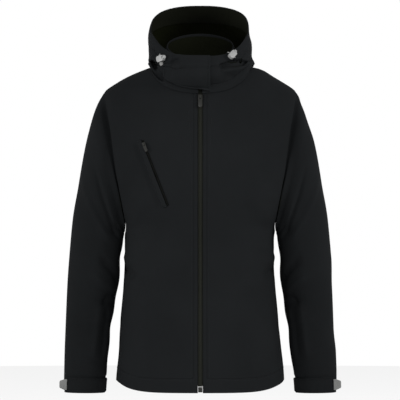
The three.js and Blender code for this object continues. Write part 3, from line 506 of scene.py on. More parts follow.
def node(tree, kind, inputs, **settings):
    made = tree.nodes.new(kind)
    for key, value in settings.items():
        setattr(made, key, value)
    feed(tree, made, inputs)
    return made


def calc(tree, operation, *values):
    return node(tree, "ShaderNodeMath", dict(enumerate(values)), operation=operation).outputs[0]


def noise(tree, scale, detail):
    place = node(tree, "ShaderNodeTexCoord", {}).outputs["Object"]
    return node(tree, "ShaderNodeTexNoise", {"Vector": place, "Scale": scale, "Detail": detail}).outputs[0]


def bump(tree, strength, distance, height, **more):
    inputs = {"Strength": strength, "Distance": distance, "Height": height, **more}
    return node(tree, "ShaderNodeBump", inputs).outputs[0]


def ramp(tree, factor, dark, light):
    made = node(tree, "ShaderNodeValToRGB", {0: factor})
    for stop, place, colour in zip(made.color_ramp.elements, (0.3, 0.7), (dark, light)):
        stop.position, stop.color = place, (*colour, 1)
    return made.outputs[0]


def material(name, shader="ShaderNodeBsdfPrincipled"):
    m = bpy.data.materials.new(name)
    m.use_nodes = True
    tree = m.node_tree
    tree.nodes.clear()
    bsdf = node(tree, shader, {})
    node(tree, "ShaderNodeOutputMaterial", {0: bsdf.outputs[0]})
    return m, tree, bsdf


# Threads' pitch across and along the cloth, in metres
WEAVE_PITCH = (0.0009, 0.0011)


def cloth_material(name, dark, light, rough=0.95, weave=0.00012, nap=0.0):
    """Woven cloth, or fleece where nap is above 0, with a groove along the sewn lines and the groove's shade
    painted into the tone there.
    """
    m, tree, bsdf = material(name)
    blotch = calc(tree, "MULTIPLY", noise(tree, 9.0, 3.0), 0.45)
    tone = ramp(tree, calc(tree, "MULTIPLY_ADD", noise(tree, 900.0, 2.0), 0.55, blotch), dark, light)
    uv = node(tree, "ShaderNodeUVMap", {}, uv_map="UVMap").outputs[0]
    measure = node(tree, "ShaderNodeSeparateXYZ", {0: uv}).outputs
    waves = [calc(tree, "SINE", calc(tree, "MULTIPLY", measure[axis], 2 * math.pi / pitch))
             for axis, pitch in enumerate(WEAVE_PITCH)]
    fuzz = noise(tree, 260.0 if nap else 420.0, 4.0)
    height = calc(tree, "MULTIPLY_ADD", calc(tree, "MULTIPLY", *waves), 0.05 if nap else 0.4, fuzz)
    threads = bump(tree, 0.6, weave + nap, height)
    # near is 1 on the sewn line and falls to 0 within about 2 mm
    sewn = node(tree, "ShaderNodeAttribute", {}, attribute_name="sewn").outputs["Fac"]
    square = calc(tree, "POWER", calc(tree, "ABSOLUTE", sewn), 2.0)
    near = calc(tree, "EXPONENT", calc(tree, "MULTIPLY", square, -1.1))
    groove = bump(tree, 0.8, 0.0006, calc(tree, "MULTIPLY", near, -1.0), Normal=threads)
    # painted shade: the tone is multiplied down to 0.8 on the sewn lines, where the groove's shadow falls
    shade = node(tree, "ShaderNodeMix", {0: near, 6: tone, 7: (0.8, 0.8, 0.8, 1)}, data_type="RGBA",
                 blend_type="MULTIPLY")
    feed(tree, bsdf, {"Roughness": rough, "Specular IOR Level": 0.02, "Normal": groove,
                      "Base Color": shade.outputs[2]})
    return m


def hard_material(name, dark, light, rough, specular, scale=350.0, grain=0.00005):
    """Plastic, metal or thread: a speckled tone with uneven gloss and a fine grain."""
    m, tree, bsdf = material(name)
    speckle = noise(tree, scale, 4.0)
    gloss = node(tree, "ShaderNodeMapRange", {0: speckle, 3: rough - 0.08, 4: rough + 0.08})
    feed(tree, bsdf, {"Specular IOR Level": specular, "Base Color": ramp(tree, speckle, dark, light),
                      "Roughness": gloss.outputs[0], "Normal": bump(tree, 0.5, grain, speckle)})
    return m


# Each with the darkest and the lightest tone of its cloth or plastic
SHELL = cloth_material("shell_cloth", (0.0055, 0.0060, 0.0064), (0.0076, 0.0083, 0.0089))
FLEECE = cloth_material("fleece_inside", (0.0027, 0.0032, 0.0012), (0.0045, 0.0051, 0.0023), 1.0, nap=0.0006)
COLLAR_FLEECE = cloth_material("collar_fleece", (0.0031, 0.0035, 0.0018), (0.0051, 0.0056, 0.0032), 1.0,
                               nap=0.0006)
FACING = cloth_material("hood_facing", (0.0048, 0.0052, 0.0034), (0.0070, 0.0075, 0.0053), 1.0, nap=0.0003)
TAPE = cloth_material("zip_tape", (0.0044, 0.0048, 0.0038), (0.0063, 0.0068, 0.0056), weave=0.00008)
# painted shade: a darker copy of the zip tape, for the pocket's tape in the welt's shadow and for the backing
# seen only in shade behind the front zip
TAPE_PAINTED_SHADE = cloth_material("pocket_tape", (0.0016, 0.0018, 0.0016), (0.0028, 0.0030, 0.0027), weave=0.00008)
COIL = hard_material("zip_coil", (0.0066, 0.0071, 0.0051), (0.0094, 0.0101, 0.0074), 0.6, 0.08)
# painted shade: a darker copy of the zip coil, for the pocket's coil in the welt's shadow
POCKET_COIL_PAINTED_SHADE = hard_material("pocket_coil", (0.0020, 0.0022, 0.0017), (0.0036, 0.0038, 0.0030), 0.6, 0.05)
METAL = hard_material("slider_metal", (0.0058, 0.006, 0.005), (0.0105, 0.0108, 0.0092), 0.45, 0.2)
LOCK = hard_material("lock_plastic", (0.155, 0.157, 0.155), (0.2, 0.202, 0.2), 0.5, 0.3)
TAB = hard_material("tab_plastic", (0.084, 0.086, 0.083), (0.108, 0.110, 0.107), 0.55, 0.3)
CORD = hard_material("cord_braid", (0.10, 0.10, 0.098), (0.16, 0.16, 0.157), 0.8, 0.1, 1400.0, 0.0003)
THREAD = hard_material("sewing_thread", (0.012, 0.013, 0.014), (0.019, 0.0205, 0.022), 0.8, 0.1, 2500.0, 0.0001)
CLOTHS = (SHELL, FLEECE)


# ---------------------------------------------------------------- folds
def crease(x, h, points, width, rise, taper=0.25):
    """A soft ridge (rise above 0) or trough along a line of points, fading at both ends."""
    best = np.full(np.shape(x), 1e9)
    along = np.zeros(np.shape(x))
    total = sum(math.dist(a, b) for a, b in zip(points, points[1:]))
    run = 0.0
    for a, b in zip(points, points[1:]):
        dx, dh = b[0] - a[0], b[1] - a[1]
        length = math.hypot(dx, dh)
        t = np.clip(((x - a[0]) * dx + (h - a[1]) * dh) / length ** 2, 0, 1)
        d = np.hypot(x - a[0] - t * dx, h - a[1] - t * dh)
        along = np.where(d < best, (run + t * length) / total, along)
        best = np.minimum(d, best)
        run += length
    fade = ease(0, taper, along) * ease(0, taper, 1 - along)
    return rise * fade * np.exp(-(best / width) ** 2)


def creases(rows, x, h, gain=1.0):
    return sum(crease(x, h, line, width, gain * rise, *taper) for line, width, rise, *taper in rows)


def swell(a, b, seed, size):
    """Slow unevenness that is the same on every run."""
    rng = np.random.default_rng(seed)
    total = 0.0 * a
    for _ in range(6):
        ka, kb = rng.normal(0, 1, 2) / size
        total = total + np.sin(a * ka + b * kb + rng.uniform(0, 6.28))
    return total / 6


# Creases: a line of places in mm, width and rise in mm, and what share of its length it fades over. These
# are the body's, from the middle and up from the cuffs; the front's are the same on both sides
FRONT_CREASES = (
    (((150, 352), (118, 392), (80, 418)), 15, 1.5), (((152, 335), (120, 348), (90, 352)), 11, -1.3),
    (((172, 402), (140, 440), (118, 490)), 16, -1.6), (((156, 262), (122, 252), (88, 258)), 13, -1.3),
    (((154, 238), (118, 226), (74, 228)), 12, 1.0), (((160, 300), (132, 306), (104, 300)), 10, 1.0),
    (((60, 620), (95, 585), (120, 540)), 20, 1.0), (((150, 640), (128, 600), (112, 560)), 16, -1.0),
    (((165, 120), (140, 150), (128, 205)), 14, -1.2), (((100, 40), (108, 95), (104, 150)), 18, 1.1),
    (((160, 264), (148, 253), (133, 242)), 8, -3.8), (((160, 288), (146, 282), (130, 272)), 8, 2.2),
)
FRONT_CREASE_GAIN = 1.4
# The body sinks beside the chest pocket's welt, on the wearer's right
POCKET_TROUGH = (((136, 528), (133, 518), (80, 384)), 4.5, -2.6, 0.1)
BACK_CREASES = (
    (((150, 300), (80, 285), (-40, 292)), 13, 2.2), (((148, 268), (70, 258), (-30, 262)), 12, -2.4),
    (((120, 232), (40, 222), (-90, 230)), 12, 1.8), (((-152, 318), (-80, 330), (20, 318)), 12, -1.8),
    (((175, 420), (120, 470), (95, 540)), 18, -2.0), (((-175, 420), (-122, 468), (-92, 545)), 18, -2.0),
    (((-150, 205), (-90, 196), (-20, 204)), 12, -1.6), (((60, 60), (64, 110), (58, 170)), 18, 1.2),
)


def torso_relief(p):
    """How far the body's folds move the cloth out, in mm."""
    x, h = p[..., 0], p[..., 2]
    front = p[..., 1] < read(TORSO, "h", "mid", h)
    in_front = creases(FRONT_CREASES, np.abs(x), h, FRONT_CREASE_GAIN) + crease(-x, h, *POCKET_TROUGH)
    rise = np.where(front, in_front, creases(BACK_CREASES, x, h)) + 0.7 * swell(x + 2 * p[..., 1], h, 3, 46)
    # puckers beside the zip and along the hem
    beside_zip = np.exp(-((np.abs(x) - 9) / 9) ** 2) * front
    rise = rise + 0.35 * beside_zip * np.sin(h / 5.7 + np.sin(h / 31.0))
    round_body = np.degrees(np.arctan2(x, p[..., 1]))
    rise = rise + 0.5 * np.exp(-((h - 22) / 26) ** 2) * np.sin(round_body / 4.1)
    # the body leans a little to the wearer's right below the chest, and the left shoulder stands higher
    lean = np.sign(x) * ease(90, 155, np.abs(x)) * np.where(x < 0, 2.6, 1.2)
    rise = rise - lean * ease(60, 160, h) * (1 - ease(330, 370, h))
    return rise + 4.5 * np.exp(-((x - 126) / 24) ** 2 - ((h - 672) / 15) ** 2)


def still(near):
    """1 where the body's folds are whole, falling to 0 at the armhole seam, near being mm from it."""
    return ease(0, 16, near)


def hem_and_zip(left, right, down, up, zip_row=None):
    """Distance from the row above the hem and, on the fronts, the row beside the zip."""
    d = down - HEM_ROW
    return d if zip_row is None else np.minimum(d, left - zip_row)


def by_armhole(s, h):
    """The share of the folds at a place across a panel (0 middle, 1 outer edge) and a height."""
    from_edge = (1 - s) * PANEL_WIDTH + np.maximum(h - SHOULDER_HEIGHT, 0)
    return 1 - (1 - still(from_edge)) * (1 - still(ARM_LOW - h))


# The sewn rows above the hem and beside the zip, and about how wide a front is at the chest, in mm
HEM_ROW, ZIP_ROW, PANEL_WIDTH = 29, 8.5, 190


def on_body(surface):
    return surface, lambda s, h: torso_normal(surface(s, h))


def cloth_pieces():
    """Fronts, sides and back."""
    made = {}
    rows = places(0, NECK_SIDE, 150, (1.0, 1.0))
    body = dict(materials=CLOTHS, dip_sides="lru")
    for side, sign in SIDES:
        def relief(u, v, p, sign=sign):
            return torso_relief(p * [sign, 1, 1])

        made[f"front_{side}"] = shell(
            f"front_{side}_cloth", *on_body(front_panel), places(0, 1, 44, (1 / 190, 1 / 190)), rows,
            node=f"front_{side}", mirror=sign < 0, relief=lambda u, v, p: relief(u, v, p) * by_armhole(u, v),
            inset=lambda *edges: hem_and_zip(*edges, ZIP_ROW), **body)
        made[f"side_{side}"] = shell(
            f"side_{side}_cloth", *on_body(side_point), places(-1, 1, 20, (2 / 100, 2 / 100)),
            places(0, ARM_LOW, 90, (1.0, 1.0)), node=f"side_{side}", mirror=sign < 0,
            relief=lambda u, v, p: relief(u, v, p) * still(ARM_LOW - v), inset=hem_and_zip, **body)
    made["back"] = shell(
        "back_cloth", *on_body(back_panel), places(-1, 1, 84, (1 / 195, 1 / 195)), rows, node="back",
        relief=lambda u, v, p: torso_relief(p) * by_armhole(np.abs(u), v), inset=hem_and_zip, **body)
    return made


# Creases of the sleeves, as lines of turns round the arm and places along it
SLEEVE_CREASES = (
    (((60, 3.2), (110, 4.4), (150, 5.4)), 9, -2.2), (((20, 4.4), (80, 5.2), (130, 6.0)), 10, 1.5),
    (((95, 6.7), (135, 7.0), (175, 7.4)), 9, -4.2), (((80, 7.35), (130, 7.6), (175, 7.9)), 7, 2.2),
    (((95, 8.2), (140, 8.1), (180, 8.35)), 6, -2.0), (((70, 8.8), (120, 8.7), (165, 9.0)), 7, 1.2),
    (((300, 5.4), (255, 6.2), (205, 7.0)), 9, -1.8), (((310, 7.1), (260, 7.4), (200, 7.7)), 7, 1.6),
    (((300, 8.0), (250, 8.2), (195, 8.5)), 7, -1.8), (((10, 9.6), (60, 9.8), (110, 9.6)), 8, -1.0),
    (((330, 2.2), (290, 3.4), (260, 4.8)), 11, -1.8), (((30, 10.4), (90, 10.3), (150, 10.45)), 7, 0.9),
    (((116, 7.8), (110, 8.6), (110, 10.2)), 7, 1.8), (((138, 7.9), (134, 8.8), (136, 10.2)), 9, -2.4),
    (((178, 7.75), (135, 7.9), (112, 8.3)), 5, -3.0), (((150, 3.6), (132, 4.6), (120, 5.6)), 9, -2.6),
)


# What a degree round the arm and a step along it are in mm, near enough for the creases
AROUND_MM, ALONG_MM = 0.85, 52.0
SLEEVE_CREASE_GAIN = 1.5


def turn_from(turn, towards):
    return (turn - towards + 180) % 360 - 180


def facing_side(turn, towards, half):
    return np.exp(-(turn_from(turn, towards) / half) ** 2)


def sleeve_relief(turn, at, seed, from_seam):
    """How far the sleeve's folds move the cloth out, in mm; from_seam is mm from the armhole seam."""
    x, h = turn_from(turn, 0) * AROUND_MM, at * ALONG_MM
    lines = [([((t + wrap) * AROUND_MM, a * ALONG_MM) for t, a in line], width, rise)
             for line, width, rise in SLEEVE_CREASES for wrap in (-360, 0)]
    rise = creases(lines, x, h, SLEEVE_CREASE_GAIN) - sleeve_fold(turn, at)
    settled = ease(0, 1.2, at) * (1 - ease(10.6, 11.2, at))
    rise = rise * ease(0, 0.8, at) * (1 - 0.9 * ease(10.6, 11.0, at)) + 0.6 * settled * swell(x, h, seed, 24)
    # the strap draws the sleeve in along its upper edge
    rise = rise - 1.8 * ease(24, 44, turn) * (1 - ease(224, 244, turn)) * np.exp(-((at - 10.92) / 0.07) ** 2)
    # the cloth drops at the armhole seam and comes up again away from it, but for the underarm and the cap
    around = ease(12, 60, turn) * (1 - ease(128, 150, turn)) + ease(210, 232, turn) * (1 - ease(300, 348, turn))
    return rise - 8.5 * around * ease(0.4, 2.2, from_seam) * np.exp(-np.maximum(from_seam - 2, 0) / 15)


def right_shape(turn, at):
    return -2.0 * facing_side(turn, 180, 48) * ease(7.2, 8.2, at) * (1 - ease(10, 10.8, at))


def left_shape(turn, at):
    """Fuller towards the body from the elbow down, slimmer outside at the cap and below the elbow."""
    inner = 2.0 * facing_side(turn, 180, 48) * ease(5.6, 7.2, at) * (1 - ease(9.8, 10.8, at))
    cap = 3.4 * ease(0.4, 1.2, at) * (1 - ease(2.0, 3.4, at))
    low = 3.0 * ease(7.2, 8.0, at) * (1 - ease(9.2, 10.0, at))
    return inner - facing_side(turn, 0, 40) * (cap + low)


def seated(turn, at):
    """The sleeve, a seam's gap away from the armhole."""
    first = sleeve_point(turn, at)
    ahead = unit(sleeve_point(turn, at + 0.35) - first)
    return first + ahead * (SEAM * (1 - ease(0, 0.3, at)))[..., None]


def seated_normal(turn, at):
    """The sleeve's normal, which turns into the body's at the armhole."""
    n, body = sleeve_normal(turn, at), torso_normal(sleeve_point(turn, 0 * at))
    alike = ease(0, 0.6, np.sum(n * body, axis=-1)) * (1 - ease(0, 0.35, at))
    return unit(mix(n, body, alike[..., None]))


def sleeves():
    made = {}
    for (side, sign), seed, shape in zip(SIDES, (11, 12), (right_shape, left_shape)):
        made[f"sleeve_{side}"] = shell(
            f"sleeve_{side}_cloth", seated, seated_normal, np.linspace(0, 360, 109)[:-1],
            places(0, 12, 150, (0.02, 0.02)), node=f"sleeve_{side}", closed=True, mirror=sign < 0,
            relief=lambda u, v, p: sleeve_relief(u, v, seed, arc(p)) + shape(u, v), materials=CLOTHS,
            dip_sides="d")
    return made


# Collar, hood and chin flap
# Creases in the front view and in the view from behind, both from the middle to the wearer's left
HOOD_CREASES = (
    (((36, 680), (52, 684), (64, 690), (82, 692), (106, 688)), 4.2, -5.0, 0.12),
    (((40, 671), (60, 675), (80, 680), (98, 690)), 6.5, 3.2, 0.2),
    (((48, 664), (76, 660), (96, 676)), 7.0, -1.4, 0.3),
    (((100, 716), (86, 706), (70, 702)), 4.5, -1.4, 0.3),
    (((-62, 688), (-50, 694), (-38, 697)), 4.0, -2.6, 0.3),
    (((-60, 681), (-46, 682), (-34, 688)), 4.5, 1.8, 0.3),
    (((-104, 722), (-92, 708), (-80, 700)), 4.2, -2.2, 0.25),
    (((-104, 706), (-95, 698), (-86, 692)), 3.6, 2.0, 0.25),
    (((-106, 697), (-96, 688), (-84, 681)), 4.6, -4.4, 0.25),
    (((-99, 690), (-90, 674), (-77, 656)), 5.5, -4.4, 0.2),
    (((-104, 684), (-92, 672), (-78, 664)), 5.0, 1.8, 0.25),
    (((-104, 684), (-92, 668), (-70, 652)), 6.5, -4.6, 0.2),
    (((-98, 736), (-80, 722), (-58, 712)), 5.0, 1.2, 0.3),
)
HOOD_BACK_CREASES = (
    (((-100, 690), (-60, 650), (-10, 628), (40, 640), (98, 688)), 11, -3.0, 0.2),
    (((-96, 716), (-50, 690), (0, 676), (56, 690), (98, 712)), 10, 2.2, 0.2),
    (((-90, 670), (-48, 622), (6, 600), (60, 626), (92, 668)), 9, 1.8, 0.2),
    (((-40, 742), (0, 730), (44, 744)), 9, -1.4, 0.3),
)

# How far the hood bellies out above its lower edge, and the gain of its creases
HOOD_BELLY, HOOD_CREASE_GAIN = 5.0, 2.1
# The rows from which hood and collar are faced, and how far below its rim the hood is sewn down, in mm
HOOD_FACING, COLLAR_FACING, RIM_ROW = 7.63, 0.953, 27
# How far the chin flap's lower edge stands off in mm, and how far it drops across, as a share of its height
CHIN_HANG, CHIN_DROP = 4.0, 0.072


def hood_relief(u, v, p, sign=1):
    """How far the hood's folds move the cloth out, in mm; sign is -1 for the wearer's right."""
    x, y, h = p[..., 0] * sign, p[..., 1], p[..., 2]
    front, behind = 1 - ease(-5, 45, y), ease(10, 60, y)
    # it bellies out above its lower edge, leans to the wearer's right at the top and flares at the left
    full = HOOD_BELLY * (1 + 0.8 * ease(55, 90, np.abs(x)) * front)
    rise = 0.45 * swell(x + 0.6 * y, h, 21, 13) + full * ease(0, 1.4, v) * (1 - ease(2.2, 5.0, v))
    rise = rise + (0.5 - x / 104 * 2.8) * ease(722, 755, h) * (1 - ease(772, 803, h))
    rise = rise + 5.0 * np.exp(-((h - 690) / 9) ** 2) * ease(70, 100, x)
    rise = (rise + front * creases(HOOD_CREASES, x, h, HOOD_CREASE_GAIN)
            + behind * creases(HOOD_BACK_CREASES, x, h))
    return rise * ease(0, 0.7, v) * (1 - 0.5 * ease(8.5, 9, v))


def chin_surface(s, t):
    return chin_point(s, t - CHIN_DROP * s * (1 - t))


def chin_relief(u, v, p):
    """It lies on the hood and follows it, but for its free edge and its lower edge, which stand off."""
    row = chin_place(u, v - CHIN_DROP * u * (1 - v))[1]
    lip = 1.2 * np.exp(-((1 - u) * 85 / 9) ** 2) * (1 - ease(0.75, 1, v))
    return hood_relief(u, np.maximum(row, 0.8), p) + lip + 0.3 + CHIN_HANG * (1 - ease(0, 0.3, v))


def collar_normal(turn, t):
    sin, cos = sin_cos(turn)
    return unit(xyz(sin / COLLAR_HALF, -cos / np.where(cos > 0, COLLAR_FRONT, COLLAR_BACK), 0))


def collar_relief(u, v, p):
    return (0.5 * swell(u * 1.2, v * 60, 41, 15)) * ease(0, 0.3, v) * (1 - 0.6 * ease(0.9, 1, v))


def hood_pieces():
    """Hood, chin flap and collar."""
    made = {}
    at_facing = HOOD_FACING + np.array([-0.07, -0.035, 0.01])
    rows = np.unique(np.concatenate([places(0, HOOD_RIM, 90, (0.06, 0.07)), np.linspace(0, 1, 16), at_facing]))
    side_turns = places(1.2, HOOD_PANEL_ANGLE, 96, (0.55, 0.55))
    centre_turns = places(HOOD_PANEL_ANGLE, 360 - HOOD_PANEL_ANGLE, 56, (0.55, 0.55))
    for piece, turns, sign, dip_sides in (("hood_side_right", side_turns, -1, "rd"),
                                          ("hood_side_left", side_turns, 1, "rd"),
                                          ("hood_centre", centre_turns, 1, "lrd")):
        made[piece] = shell(
            f"{piece}_cloth", hood_point, hood_normal, turns, rows, node=piece, mirror=sign < 0,
            relief=lambda u, v, p: hood_relief(u, v, p, sign), inset=lambda left, right, down, up: up - RIM_ROW,
            materials=(*CLOTHS, FACING), dip_sides=dip_sides, facing=HOOD_FACING)
    made["hood_chin_flap"] = shell(
        "hood_chin_flap_cloth", chin_surface, numeric_normal(chin_point, 0.01, 0.02),
        places(0, 1, 70, (1 / 95, 1 / 95)), places(0, 1, 60, (1 / 60, 1 / 60)), node="hood_chin_flap",
        relief=chin_relief, inset=lambda left, right, down, up: np.minimum(np.minimum(left, right), down) - 4.5,
        outside=LAYER_GAP + CLOTH, inside=-LAYER_GAP, materials=(SHELL, SHELL), dip=0.7)
    start = math.degrees(math.asin((ZIP_HALF_GAP + 0.15) / COLLAR_HALF))
    made["collar"] = shell(
        "collar_cloth", collar_point, collar_normal, places(start, 360 - start, 130, (0.8, 0.8)),
        places(0, 1, 26, (1 / 60, 1 / 60)), node="collar", relief=collar_relief,
        inset=lambda left, right, down, up: up - 5.0, materials=(SHELL, COLLAR_FLEECE, SHELL), dip=0.6,
        facing=COLLAR_FACING)
    return made


# Chest pocket: the ends of its line, then places across it, how thick welt and tape are, and how far off
# the front they lie
POCKET_TOP, POCKET_END = (124.5, 528.0), (70.0, 389.0)
POCKET_OUTER, POCKET_WELT_TO, POCKET_ZIP_FROM, POCKET_ZIP_TO = -9.0, 2.0, 2.4, 6.8
POCKET_WELT, POCKET_ZIP, POCKET_LIFT = 1.4, 1.0, 0.4


def pocket_point(q, p):
    """A place q mm across the pocket's line and p of the way down it."""
    dx, dh = POCKET_END[0] - POCKET_TOP[0], POCKET_END[1] - POCKET_TOP[1]
    length = math.hypot(dx, dh)
    return front_point(POCKET_TOP[0] + p * dx + q * dh / length, POCKET_TOP[1] + p * dh - q * dx / length)


def pocket_normal(q, p):
    n = numeric_normal(pocket_point, 0.5, 0.005)(q, p)
    return np.where(n[..., 1:2] > 0, -n, n)


def welt_point(s, p):
    round_end = 1 - 0.35 * (1 - ease(0, 0.05, p)) - 0.2 * ease(0.97, 1, p)
    return pocket_point(mix(POCKET_WELT_TO, POCKET_OUTER * round_end, s), p)


def welt_relief(u, v, p):
    """The welt's free edge stands proud by its zip, most where the pocket gapes."""
    gape = np.exp(-((v - 0.52) / 0.13) ** 2)
    edge = 1.1 * (1 - u) ** 2 * (1 + 1.4 * gape) + 0.35 * np.sin(v * 61) * (0.4 + u)
    return edge - 1.0 * ease(0.6, 1, u)


def pocket_pieces():
    made = {}
    made["chest_pocket_welt"] = shell(
        "chest_pocket_welt_cloth", welt_point,
        lambda s, p: pocket_normal(mix(POCKET_WELT_TO, POCKET_OUTER, s), p),
        places(0, 1, 12, (1 / 11, 1 / 11)), places(0, 1, 90, (1 / 150, 1 / 150)), node="chest_pocket_welt",
        mirror=True, relief=welt_relief,
        inset=lambda left, right, down, up: np.minimum(right - 1.8, np.minimum(down, up) - 2.5),
        outside=POCKET_LIFT + POCKET_WELT, inside=-POCKET_LIFT, materials=(SHELL, SHELL), dip=0.7)
    # the pocket's tape is the darker tape, painted shade of the welt over it
    made["chest_pocket_zip"] = shell(
        "chest_pocket_tape", pocket_point, pocket_normal, places(POCKET_ZIP_FROM, POCKET_ZIP_TO, 6, (1, 1)),
        places(0.02, 0.985, 70), node="chest_pocket_zip", mirror=True, outside=POCKET_LIFT + POCKET_ZIP,
        inside=-POCKET_LIFT, materials=(TAPE_PAINTED_SHADE, TAPE_PAINTED_SHADE), dip=0.5, slot="zip")
    return made


# Cuff straps: from and to which turn and row of the sleeve, how thick, and how far off the sleeve
STRAP_FROM, STRAP_TO, STRAP_LOW, STRAP_HIGH, STRAP_DEPTH, STRAP_GAP = 36.0, 232.0, 11.93, 10.98, 1.6, 0.5


def cuff_straps():
    made = {}
    for side, sign in SIDES:
        made[f"cuff_strap_{side}"] = shell(
            f"cuff_strap_{side}_cloth", sleeve_point, sleeve_normal,
            places(STRAP_FROM, STRAP_TO, 60, (1.5, 1.5)),
            places(STRAP_HIGH, STRAP_LOW, 12, (0.03, 0.03)), node=f"cuff_strap_{side}", mirror=sign < 0,
            relief=lambda u, v, p: 0.25 + 0.25 * swell(u, v * 40, 51, 14),
            inset=lambda *edges: np.min(edges, axis=0) - 3, outside=STRAP_GAP + STRAP_DEPTH, inside=-STRAP_GAP,
            materials=(SHELL, SHELL), dip=0.6)
    return made


# ---------------------------------------------------------------- sewing
# A row on a piece, as corners in mm along its width and height from its first corner; a value below 0
# counts back from the far edge
ALL_ROUND = ((3, 3), (-3, 3), (-3, -3), (3, -3), (3, 3))
BELOW_RIM = ((1, -RIM_ROW), (-1, -RIM_ROW))
STITCHED = {
    "chest_pocket_welt": ((0.6, 2.4), (-1.8, 2.4), (-1.8, -2.4), (0.6, -2.4)),
    "cuff_strap_right": ALL_ROUND, "cuff_strap_left": ALL_ROUND,
    "hood_chin_flap": ((4.5, -2), (4.5, 4.5), (-4.5, 4.5), (-4.5, -2)), "collar": ((2, -5), (-2, -5)),
    "hood_side_right": BELOW_RIM, "hood_side_left": BELOW_RIM, "hood_centre": BELOW_RIM,
}
# The two rows above the hem, in mm from its edge
HEM_STITCHES = (27.5, 30.5)
STITCHES = []


def along_line(values, run, at):
    """What a line's points or normals are at these lengths along it."""
    return np.stack([np.interp(at, run, values[:, i]) for i in range(3)], -1)


def stitch_line(points, normals, pitch=3.1, length=2.2, lift=0.05):
    """Short threads that follow a line of points, in mm."""
    points, normals = np.asarray(points), np.asarray(normals)
    run = arc(points)
    starts = np.arange(pitch / 2, run[-1] - length, pitch)
    a, b = along_line(points, run, starts), along_line(points, run, starts + length)
    n = unit(along_line(normals, run, starts + length / 2))
    STITCHES.append((a + n * lift, b + n * lift, n))


def add_stitches(name, radius=0.28):
    """One piece of the stitches so far: each a slim three-sided thread that swells in its middle."""
    verts, faces = [], []
    for a, b, n in STITCHES:
        side = unit(np.cross(unit(b - a), n))
        middle = (a + b) / 2 + n * radius * 0.9
        for i in range(len(a)):
            base = len(verts)
            for end, width in ((a[i], 0.35), (middle[i], 1.0), (b[i], 0.35)):
                for dx, dn in ((-1, -0.6), (0, 1), (1, -0.6)):
                    verts.append(end + side[i] * dx * radius * width + n[i] * dn * radius * width)
            for ring in (0, 3):
                for k in range(3):
                    p, q = base + ring + k, base + ring + (k + 1) % 3
                    faces.append((p, q, q + 3, p + 3))
            faces += [(base, base + 2, base + 1), (base + 6, base + 7, base + 8)]
    STITCHES.clear()
    return new_object(name, to_frame(np.array(verts)), faces, "shell", [THREAD])


def stitch_on_body(surface, us, vs, sign=1):
    """A row of stitches on a body panel and its folds; sign is -1 for the wearer's right."""
    u, v = (a[None, :] for a in np.broadcast_arrays(np.asarray(us, float), np.asarray(vs, float)))
    flip = np.array([sign, 1, 1])
    p = surface(u, v)
    n = torso_normal(p)
    p = p + n * torso_relief(p * flip)[..., None]
    stitch_line((p * flip)[0], (n * flip)[0])


def sew():
    beside_zip = np.linspace(3, 684, 500)
    for _, sign in SIDES:
        stitch_on_body(front_panel, ZIP_ROW / (0.5 * math.pi * 118) + 0 * beside_zip, beside_zip, sign)
        for above in HEM_STITCHES:
            stitch_on_body(front_panel, np.linspace(0.02, 0.995, 300), above, sign)
            stitch_on_body(side_point, np.linspace(-0.98, 0.98, 120), above, sign)
    for above in HEM_STITCHES:
        stitch_on_body(back_panel, np.linspace(-0.995, 0.995, 500), above)
    add_stitches("body_topstitch")
    for name, corners in STITCHED.items():
        stitch_on(name, corners)
        add_stitches(f"{name}_topstitch")


def sample(grid, row, col):
    """A grid's value between its rows and columns."""
    r, c = min(int(row), grid.shape[0] - 2), min(int(col), grid.shape[1] - 2)
    low, high = (mix(grid[r + k, c], grid[r + k, c + 1], col - c) for k in (0, 1))
    return mix(low, high, row - r)


def stitch_on(name, corners):
    """A row of stitches through corners on the piece's outer face."""
    outer, n, across, up = GRIDS[name]
    wide = across[len(up) // 2]
    points, normals = [], []

    def index(one, two, t, run):
        """The row or column at a share t between two lengths, each from its near or its far edge."""
        return np.interp(mix(*(d if d >= 0 else d + run[-1] for d in (one, two)), t), run, np.arange(len(run)))

    for (a0, b0), (a1, b1) in zip(corners, corners[1:]):
        for t in np.linspace(0, 1, 120):
            col = index(a0, a1, t, wide)
            row = index(b0, b1, t, up[:, int(round(col))])
            points.append(sample(outer, row, col))
            normals.append(sample(n, row, col))
    stitch_line(points, normals)


# ---------------------------------------------------------------- zips and hardware
# Section of a coil's rib: along it from its outer end (-1) to the middle (0), and up
RIB = ((-1.0, 0.0), (-0.82, 0.75), (-0.45, 1.0), (0.1, 0.95), (0.28, 0.45), (0.28, 0.0))


def coil(name, points, normals, pitch, half, height, mat):
    """The two rows of a coil zip: slim ribs that cross the middle by turns."""
    run = arc(points)
    count = int(run[-1] / pitch)
    at = (np.arange(count) + 0.5) * pitch
    centre, n = along_line(points, run, at), unit(along_line(normals, run, at))
    along = unit(np.gradient(centre, axis=0))
    across = unit(np.cross(n, along))
    thick = pitch * 0.34
    m = len(RIB)
    verts, faces = [], []
    for row, sign in ((0, 1), (1, -1)):
        for i in range(count):
            c = centre[i] + along[i] * (pitch * 0.5 * row - pitch * 0.25)
            base = len(verts)
            for step in (-1, 1):
                for x, z in RIB:
                    verts.append(c + across[i] * sign * x * half + n[i] * z * height
                                 + along[i] * step * thick * (0.55 if z > 0.9 else 1.0))
            rib = [(base + k, base + k + 1, base + m + k + 1, base + m + k) for k in range(m - 1)]
            rib += [tuple(range(base + m - 1, base - 1, -1)), tuple(range(base + m, base + 2 * m))]
            faces += [face[::sign] for face in rib]
    return new_object(name, to_frame(np.array(verts)), faces, "zip", [mat], smooth=False)


